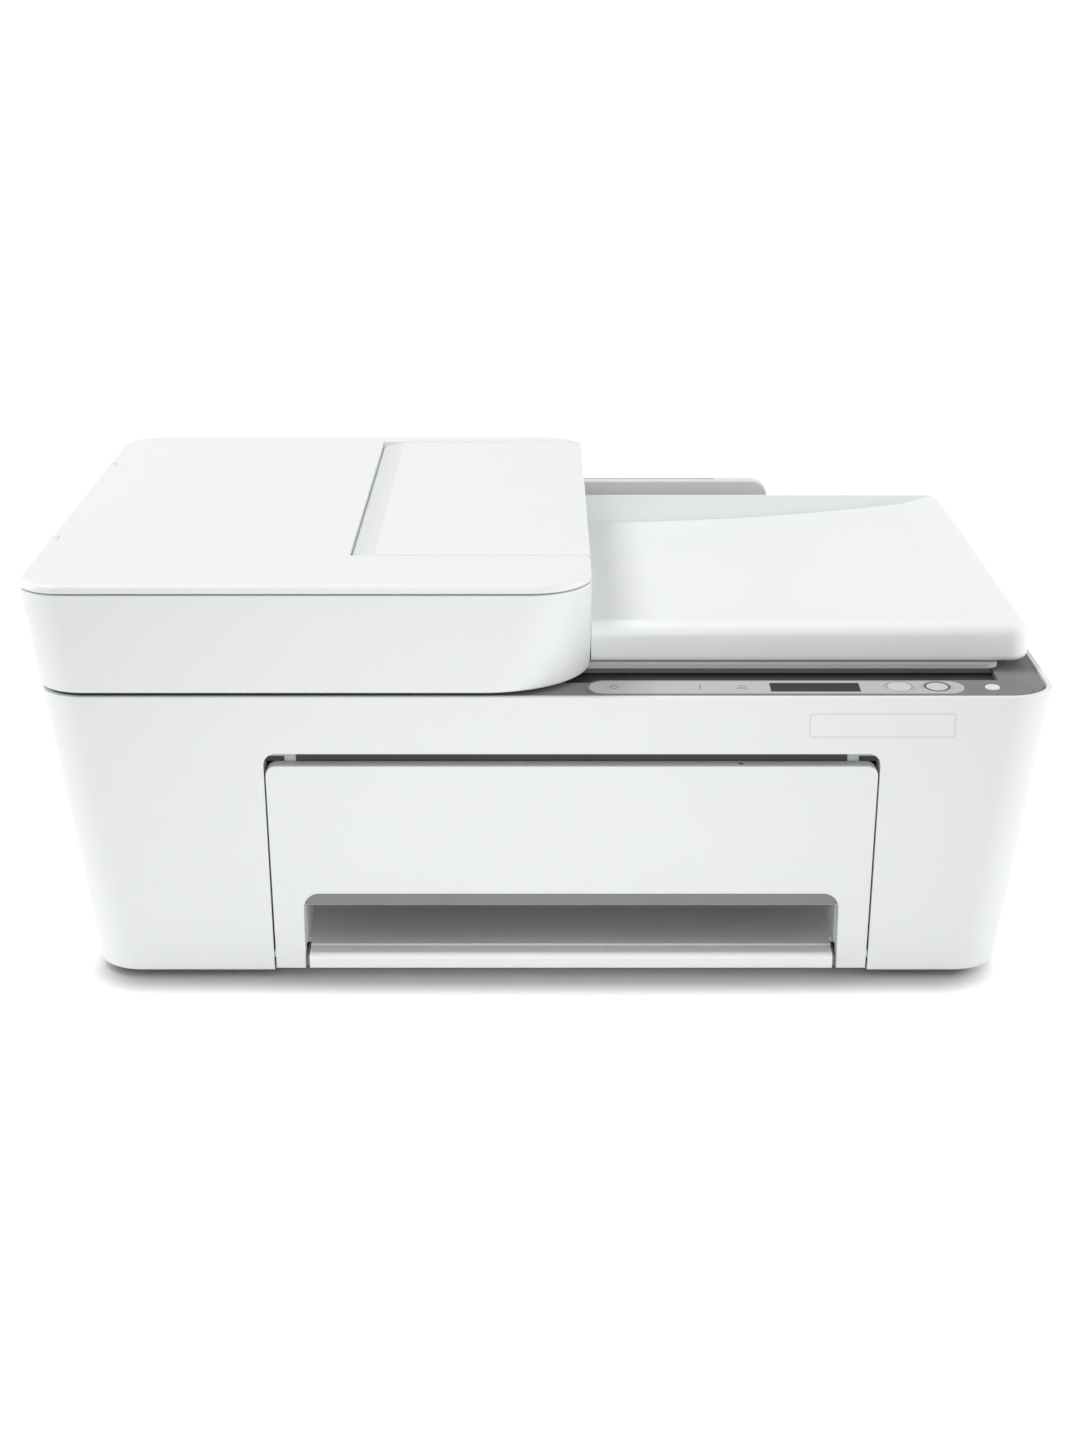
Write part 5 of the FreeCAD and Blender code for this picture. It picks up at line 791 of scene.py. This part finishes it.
@dataclass
class ControlStrip(SubAssembly):
    """Printing on the control strip and its keys."""

    front: float = -162.8 * MM
    level: float = 124.7 * MM
    rise: float = math.atan2(1.2, 17.0)
    middle: float = 8.5 * MM
    strip_top: float = 0.4 * MM
    key_top: float = 0.7 * MM
    ink: float = 0.04 * MM
    corner: float = 0.2 * MM
    separator_x: float = 66.6 * MM
    separator_width: float = 0.6 * MM
    separator_length: float = 6.2 * MM
    round_x: float = 31.0 * MM
    round_outer: float = 1.9 * MM
    round_inner: float = 1.35 * MM
    bars_x: float = 84.0 * MM
    bar_lengths: tuple[float, ...] = (4.8 * MM, 3.6 * MM, 4.8 * MM)
    bar_width: float = 0.55 * MM
    bar_pitch: float = 1.5 * MM
    stop_x: float = 149.0 * MM
    start_x: float = 164.7 * MM
    key_radius: float = 5.62 * MM
    stop_line: float = 0.55 * MM
    start_line: float = 1.15 * MM

    def on_strip(self, x: float, top: float, y: float = 0.0) -> Matrix:
        """Give the place of a flat mark on the leaning strip.

        Args:
            x: Its middle along X.
            top: The surface under it, above the strip's own base.
            y: Its middle behind the strip's middle line.

        Returns:
            The placement.
        """
        foot = Matrix.Translation((0.0, self.front, self.level)) @ Matrix.Rotation(self.rise, 4, "X")
        return foot @ Matrix.Translation((x, self.middle + y, top))

    def build(self) -> None:
        """Print the marks, the separator and the two key rings."""
        self.marks()
        for name, line, finish, body, x in (
                ("stop_key_ring", self.stop_line, PRINT_MID, Body.STOP_KEY, self.stop_x),
                ("start_key_ring", self.start_line, PRINT_DARK, Body.START_KEY, self.start_x)):
            ring = Shape.ring(self.key_radius, self.key_radius - line, self.ink)
            self.put(name, ring, finish, body, self.on_strip(x, self.key_top))

    def marks(self) -> None:
        """Print the separator, the round mark and the three bars on the strip."""
        line = Shape.slab(self.separator_width, self.separator_length, self.ink, self.corner)
        place = self.on_strip(self.separator_x, self.strip_top)
        self.put("strip_separator", line, PRINT_MID, Body.BASE, place)
        round_mark = Shape.ring(self.round_outer, self.round_inner, self.ink)
        place = self.on_strip(self.round_x, self.strip_top)
        self.put("strip_mark_round", round_mark, PRINT_MID, Body.BASE, place)
        for row, length in enumerate(self.bar_lengths):
            bar = Shape.slab(length, self.bar_width, self.ink, self.corner)
            place = self.on_strip(self.bars_x, self.strip_top, (row - 1) * self.bar_pitch)
            self.put(f"strip_mark_bar_{row}", bar, PRINT_MID, Body.BASE, place)


@dataclass
class FrontFace(SubAssembly):
    """The bare name plate's outline and the small dot at the door's top."""

    face: float = -166.0 * MM
    sunk: float = 0.05 * MM
    proud: float = 0.03 * MM
    plate_x: float = 141.2 * MM
    plate_z: float = 112.8 * MM
    plate_width: float = 60.4 * MM
    plate_height: float = 10.8 * MM
    plate_corner: float = 1.6 * MM
    plate_line: float = 0.7 * MM
    dot_x: float = 83.7 * MM
    dot_in: float = 3.6 * MM
    dot_z: float = 95.0 * MM
    dot_outer: float = 1.1 * MM
    dot_inner: float = 0.3 * MM
    dot_height: float = 0.05 * MM
    dot_sides: int = 24

    def build(self) -> None:
        """Draw the plate's outline on the face and the dot on the door's top edge."""
        outline = Shape.border(self.plate_width, self.plate_height, self.sunk + self.proud,
                               self.plate_corner, self.plate_line)
        place = Matrix.Translation((self.plate_x, self.face + self.sunk, self.plate_z))
        self.put("front_plate_outline", outline, PLATE_EDGE, Body.BASE, place @ STAND)
        dot = Shape.ring(self.dot_outer, self.dot_inner, self.dot_height, self.dot_sides)
        place = Matrix.Translation((self.dot_x, self.face + self.dot_in, self.dot_z))
        self.put("door_top_dot", dot, PRINT_DARK, Body.DOOR, place)


@dataclass
class PaperExit(SubAssembly):
    """The grey trim that paints the shade under the slot's top edge, the side cheeks and the side stops of
    the paper exit.
    """

    slot_gap: float = 1.7 * MM
    rib_face: float = -163.0 * MM
    trim_level: float = 35.0 * MM
    trim_height: float = 5.6 * MM
    trim_thick: float = 0.3 * MM
    trim_short: float = 0.4 * MM
    cheek: float = 1.1 * MM
    cheek_depth: float = 74.0 * MM
    cheek_in: float = 1.0 * MM
    cheek_foot: float = 2.0 * MM
    cheek_top: float = 38.0 * MM
    cheek_corner: float = 0.3 * MM
    stop_depth: float = 11.5 * MM
    stop_sunk: float = 2.5 * MM
    stop_foot: float = 0.3 * MM
    stop_clear: float = 0.1 * MM
    play: float = 0.15 * MM
    corner: float = 0.2 * MM

    def build(self) -> None:
        """Put the painted shade trim on the door's rib, and a cheek and a side stop at each end of the
        exit floor.
        """
        low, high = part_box("tray_extender")
        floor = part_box("exit_floor")[0]
        middle = (low.x + high.x) / 2
        width = high.x - low.x + 2 * self.slot_gap
        # A grey strip over the white rib: painted shade of the recess under the slot's top edge.
        trim = Shape.slab(width - self.trim_short, self.trim_height, self.trim_thick, self.corner)
        place = Matrix.Translation((middle, self.rib_face, self.trim_level))
        self.put("slot_painted_shade_trim", trim, GREY_AND_PAINTED_SHADE, Body.DOOR, place @ STAND)
        self.cheeks(middle, width, floor)
        self.stops(low, high, floor.z - self.stop_clear)

    def cheeks(self, middle: float, width: float, floor: Vector) -> None:
        """Stand a plate at each end of the slot.

        Args:
            middle: The slot's middle along X.
            width: The slot's width.
            floor: The exit floor's low corner.
        """
        foot = floor.z + self.cheek_foot
        for side, name in ((-1, "left"), (1, "right")):
            plate = Shape.slab(self.cheek, self.cheek_depth, self.cheek_top - foot, self.cheek_corner)
            place = Matrix.Translation((middle + side * (width + self.cheek) / 2,
                                        floor.y + self.cheek_depth / 2 + self.cheek_in, foot))
            self.put(f"exit_cheek_{name}", plate, INNER_GREY, Body.BASE, place)

    def stops(self, low: Vector, high: Vector, top: float) -> None:
        """Fill the gap at each side of the extender with a small block.

        Args:
            low: The extender's low corner.
            high: The extender's high corner.
            top: The blocks' upper level.
        """
        foot = low.z + self.stop_foot
        wide = self.slot_gap - 2 * self.play
        for x, name in ((low.x - self.slot_gap / 2, "left"), (high.x + self.slot_gap / 2, "right")):
            stop = Shape.slab(wide, self.stop_depth, top - foot, self.corner, self.corner)
            place = Matrix.Translation((x, low.y + self.stop_sunk + self.stop_depth / 2, foot))
            self.put(f"exit_side_stop_{name}", stop, GREY_AND_PAINTED_SHADE, Body.BASE, place)


@dataclass
class DoorGap(SubAssembly):
    """What shows in the gap above the door, beside the rail."""

    jamb: float = 11.8 * MM
    height: float = 3.4 * MM
    clip: float = 4.8 * MM
    clip_out: float = 1.5 * MM
    clip_proud: float = 1.0 * MM
    clip_ease: float = 0.2 * MM
    corner: float = 0.3 * MM

    def build(self) -> None:
        """Close the rail's ends to the jambs and put a light clip on each."""
        low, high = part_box("bay_rail")
        level = low.z + self.height / 2
        for side, end, name in ((-1, low.x, "left"), (1, high.x, "right")):
            strip = Shape.slab(self.jamb, self.height, high.y - low.y, self.corner)
            place = Matrix.Translation((end + side * self.jamb / 2, high.y, level))
            self.put(f"rail_end_{name}", strip, RAIL_GREY, Body.BASE, place @ STAND)
            clip = Shape.slab(self.clip, self.height, self.clip_proud, self.corner, self.clip_ease)
            place = Matrix.Translation((end + side * self.clip_out, low.y, level))
            self.put(f"rail_clip_{name}", clip, WHITE, Body.BASE, place @ STAND)


@dataclass
class CoverHinge(SubAssembly):
    """The caps over the feeder cover's two hinge lugs."""

    cap_in: float = 2.55 * MM
    cap_down: float = 1.7 * MM
    front_lug: float = 76.0 * MM
    rear_lug: float = 74.0 * MM
    lug_length: float = 7.0 * MM
    overlap: float = 0.2 * MM
    width: float = 3.8 * MM
    height: float = 1.4 * MM
    corner: float = 0.1 * MM
    ease: float = 0.2 * MM

    def build(self) -> None:
        """Set a cap on each lug, inside the circle that the cover's notch leaves free."""
        low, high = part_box("feeder_cover")
        length = self.lug_length + 2 * self.overlap
        for start, name in ((low.y + self.front_lug, "front"), (high.y - self.rear_lug, "rear")):
            cap = Shape.slab(self.width, length, self.height, self.corner, self.ease)
            place = Matrix.Translation((low.x + self.cap_in, start + self.lug_length / 2,
                                        high.z - self.cap_down))
            self.put(f"hinge_cap_{name}", cap, WHITE, Body.LID, place)


@dataclass
class FlapGrip(SubAssembly):
    """A matt sheet on the flap's sunk left edge, darker than the flap's white as painted shade of the
    groove.
    """

    run: float = 10.4 * MM
    drop: float = 2.6 * MM
    margin: float = 0.3 * MM
    skin: float = 0.04 * MM
    corner: float = 0.2 * MM

    def build(self) -> None:
        """Lay the darker sheet on the ramp."""
        low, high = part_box("input_flap")
        lean = math.atan2(self.drop, self.run)
        length = math.hypot(self.run, self.drop) - 2 * self.margin
        sheet = Shape.slab(length, high.y - low.y - 2 * self.margin, self.skin, self.corner)
        place = Matrix.Translation((low.x + self.run / 2, (low.y + high.y) / 2, high.z - self.drop / 2))
        self.put("flap_grip_painted_shade", sheet, GRIP_PAINTED_SHADE, Body.FLAP, place @ Matrix.Rotation(-lean, 4, "Y"))


@dataclass
class InkLabels(SubAssembly):
    """Plain colour labels on the fronts of the two cartridges."""

    height: float = 9.0 * MM
    margin: float = 2.0 * MM
    gap: float = 0.4 * MM
    sheet: float = 0.12 * MM
    corner: float = 0.5 * MM

    def build(self) -> None:
        """Stick three stripes on the colour cartridge and one on the black."""
        for name, inks in (("colour", (CYAN, MAGENTA, YELLOW)), ("black", (GREY_AND_PAINTED_SHADE,))):
            low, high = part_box(f"{name}_cartridge")
            width = (high.x - low.x - 2 * self.margin) / len(inks)
            for index, ink in enumerate(inks):
                label = Shape.slab(width - self.gap, self.height, self.sheet, self.corner)
                place = Matrix.Translation((low.x + self.margin + width * (index + 0.5), low.y,
                                            high.z - self.margin - self.height / 2))
                self.put(f"ink_label_{name}_{index}", label, ink, Body.CARRIAGE, place @ STAND)


@dataclass
class DeckGutter(SubAssembly):
    """A near-black strip in the gutter behind the control strip, painted shade under the lid's front edge,
    and the gutter's end block.
    """

    middle: float = -134.2 * MM
    depth: float = 3.0 * MM
    shade_strip_x: float = 104.0 * MM
    shade_strip_width: float = 186.0 * MM
    shade_strip_depth: float = 20.6 * MM
    shade_strip_height: float = 0.8 * MM
    shade_strip_corner: float = 3.4 * MM
    shade_strip_ease: float = 0.3 * MM
    right: float = 199.2 * MM
    block: float = 6.6 * MM
    block_depth: float = 22.0 * MM
    block_sunk: float = 0.04 * MM
    block_corner: float = 0.2 * MM

    def build(self) -> None:
        """Lay the painted shade strip between the control strip and the lid's front edge and close the
        gutter's right end.
        """
        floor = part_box("scanner_deck")[1].z - self.depth
        shade_strip = Shape.slab(self.shade_strip_width, self.shade_strip_depth, self.shade_strip_height,
                            self.shade_strip_corner, self.shade_strip_ease)
        place = Matrix.Translation((self.shade_strip_x, self.middle, floor))
        self.put("gutter_shade_strip", shade_strip, GUTTER_SHADE, Body.BASE, place)
        block = Shape.slab(self.block, self.block_depth, self.depth - self.block_sunk, self.block_corner)
        place = Matrix.Translation((self.right - self.block / 2, self.middle, floor))
        self.put("gutter_end", block, DECK, Body.BASE, place)


@dataclass
class TrayCrest(SubAssembly):
    """The wedge that carries the tray's dish smoothly up to its right rim."""

    run: float = 14.4 * MM
    crest_in: float = 6.1 * MM
    dish_rise: float = 1.714 * MM
    step: float = 2.6 * MM
    proud: float = 0.01 * MM
    lip: float = 8.0 * MM
    rim: float = 6.0 * MM

    def build(self) -> None:
        """Lay the wedge on the dish, against the step at the rim."""
        low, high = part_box("document_tray")
        front, back = low.y + self.lip, high.y - self.rim
        wedge = Shape.wedge(self.run, back - front, self.dish_rise, self.step + self.proud)
        place = Matrix.Translation((high.x - self.crest_in - self.run / 2, (front + back) / 2,
                                    high.z - self.step - self.dish_rise))
        self.put("tray_crest", wedge, TRAY_WHITE, Body.LID, place)


@dataclass(frozen=True)
class Lamp:
    """A soft square lamp that looks at the printer."""

    name: str
    place: Place
    size: float
    power: float
    spread: float = math.pi
    target: float = 0.08

    def hang(self, scene: bpy.types.Scene) -> None:
        """Hang the lamp, turned to its target on the printer's middle line.

        Args:
            scene: The scene.
        """
        data = bpy.data.lights.new(self.name, "AREA")
        data.shape = "SQUARE"
        data.size = self.size
        data.energy = self.power
        data.spread = self.spread
        lamp = bpy.data.objects.new(self.name, data)
        lamp.location = self.place
        aim = Vector((0.0, 0.0, self.target)) - Vector(self.place)
        lamp.rotation_euler = aim.to_track_quat("-Z", "Y").to_euler()
        scene.collection.objects.link(lamp)


LAMPS = (
    Lamp("top_light", (-1.0, 0.30, 2.3), size=1.0, power=26.0),
    Lamp("left_light", (-2.4, -0.12, 0.42), size=1.4, power=18.5),
    Lamp("right_light", (2.4, -0.12, 0.42), size=1.4, power=28.0),
    Lamp("front_light", (0.0, -1.15, 0.38), size=0.3, power=0.22, spread=math.radians(44), target=-0.05),
)


@dataclass
class Studio:
    """Pale floor, soft light and the photograph's viewpoint."""

    camera_place: Place = (0.00034, -1.0931, 0.4233)
    camera_pitch: float = math.radians(18.38)
    sensor: float = 36.0
    focal_share: float = 2379 / 1440
    floor_size: float = 44.0
    floor_roughness: float = 0.9
    floor_tone: float = 0.88
    camera_shade_drop: float = 0.42
    floor_glow: float = 0.02
    shadow_half: tuple[float, float] = (0.165, 0.155)
    shadow_start: float = 0.012
    shadow_reach: float = 0.042
    world_strength: float = 0.5

    def build(self) -> None:
        """Make the floor, the lights, the world and the camera."""
        scene = bpy.context.scene
        scene.view_settings.view_transform = "Standard"
        self.floor(scene)
        self.world(scene)
        for lamp in LAMPS:
            lamp.hang(scene)
        self.camera(scene)

    def floor(self, scene: bpy.types.Scene) -> None:
        """Lay a wide floor that reads white but keeps the shadow.

        Args:
            scene: The scene.
        """
        mesh = bmesh.new()
        bmesh.ops.create_grid(mesh, x_segments=1, y_segments=1, size=self.floor_size / 2)
        data = bpy.data.meshes.new("floor")
        mesh.to_mesh(data)
        mesh.free()
        floor = bpy.data.objects.new("floor", data)
        scene.collection.objects.link(floor)
        data.materials.append(self.floor_white())

    def floor_white(self) -> bpy.types.Material:
        """Make the floor's material, which for the camera is darker than the light it throws back,
        deepening the printer's contact shadow as painted shade, and glows for the camera outside the
        printer's shadow.

        Returns:
            The material.
        """
        material = bpy.data.materials.new("floor_white")
        material.use_nodes = True
        graph = Graph(material.node_tree)
        seen = graph.seen()
        # Camera-only darker tone: painted shade that deepens the contact shadow near the printer.
        tone = graph.math("SUBTRACT", self.floor_tone, graph.math("MULTIPLY", seen, self.camera_shade_drop))
        pale = graph.node("ShaderNodeCombineColor", {"Red": tone, "Green": tone, "Blue": tone})
        axes = graph.node("ShaderNodeSeparateXYZ", {"Vector": graph.place()})
        reach = []
        for axis, half in zip(("X", "Y"), self.shadow_half):
            outside = graph.math("SUBTRACT", graph.math("ABSOLUTE", axes.outputs[axis]), half)
            reach.append(graph.math("POWER", graph.math("MAXIMUM", outside, 0.0), 2.0))
        away = graph.math("SQRT", graph.math("ADD", *reach))
        spread = graph.node("ShaderNodeMapRange", {
            "Value": away, "From Min": self.shadow_start, "From Max": self.shadow_reach,
            "To Min": self.floor_glow, "To Max": 1.0}, interpolation_type="SMOOTHSTEP")
        graph.wire(material.node_tree.nodes["Principled BSDF"], {
            "Base Color": pale.outputs[0], "Roughness": self.floor_roughness, "Specular IOR Level": 0.0,
            "Emission Color": WHITE_LIGHT,
            "Emission Strength": graph.math("MULTIPLY", seen, spread.outputs[0])})
        return material

    def world(self, scene: bpy.types.Scene) -> None:
        """Make an even pale surround that the camera sees as white.

        Args:
            scene: The scene.
        """
        world = bpy.data.worlds.new("studio")
        scene.world = world
        world.use_nodes = True
        graph = Graph(world.node_tree)
        lit = graph.math("MULTIPLY", graph.seen(), 1.0 - self.world_strength)
        graph.wire(world.node_tree.nodes["Background"], {
            "Color": WHITE_LIGHT, "Strength": graph.math("ADD", lit, self.world_strength)})

    def camera(self, scene: bpy.types.Scene) -> None:
        """Stand the camera where the photograph was taken.

        Args:
            scene: The scene.
        """
        data = bpy.data.cameras.new("photo_view")
        data.sensor_fit = "VERTICAL"
        data.sensor_height = self.sensor
        data.lens = self.focal_share * self.sensor
        data.dof.use_dof = False
        camera = bpy.data.objects.new("photo_view", data)
        camera.location = self.camera_place
        camera.rotation_euler = (math.pi / 2 - self.camera_pitch, 0.0, 0.0)
        scene.collection.objects.link(camera)
        scene.camera = camera


def main() -> None:
    """Load the construction, dress it and set the studio."""
    logging.basicConfig(level=logging.INFO, format="%(name)s: %(message)s")
    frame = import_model()
    facets = Facets()
    Construction(frame).dress(facets)
    for group in (ControlStrip, FrontFace, PaperExit, DoorGap, CoverHinge, FlapGrip, InkLabels,
                  DeckGutter, TrayCrest):
        group(facets).build()
    Studio().build()


if __name__ == "__main__":
    main()
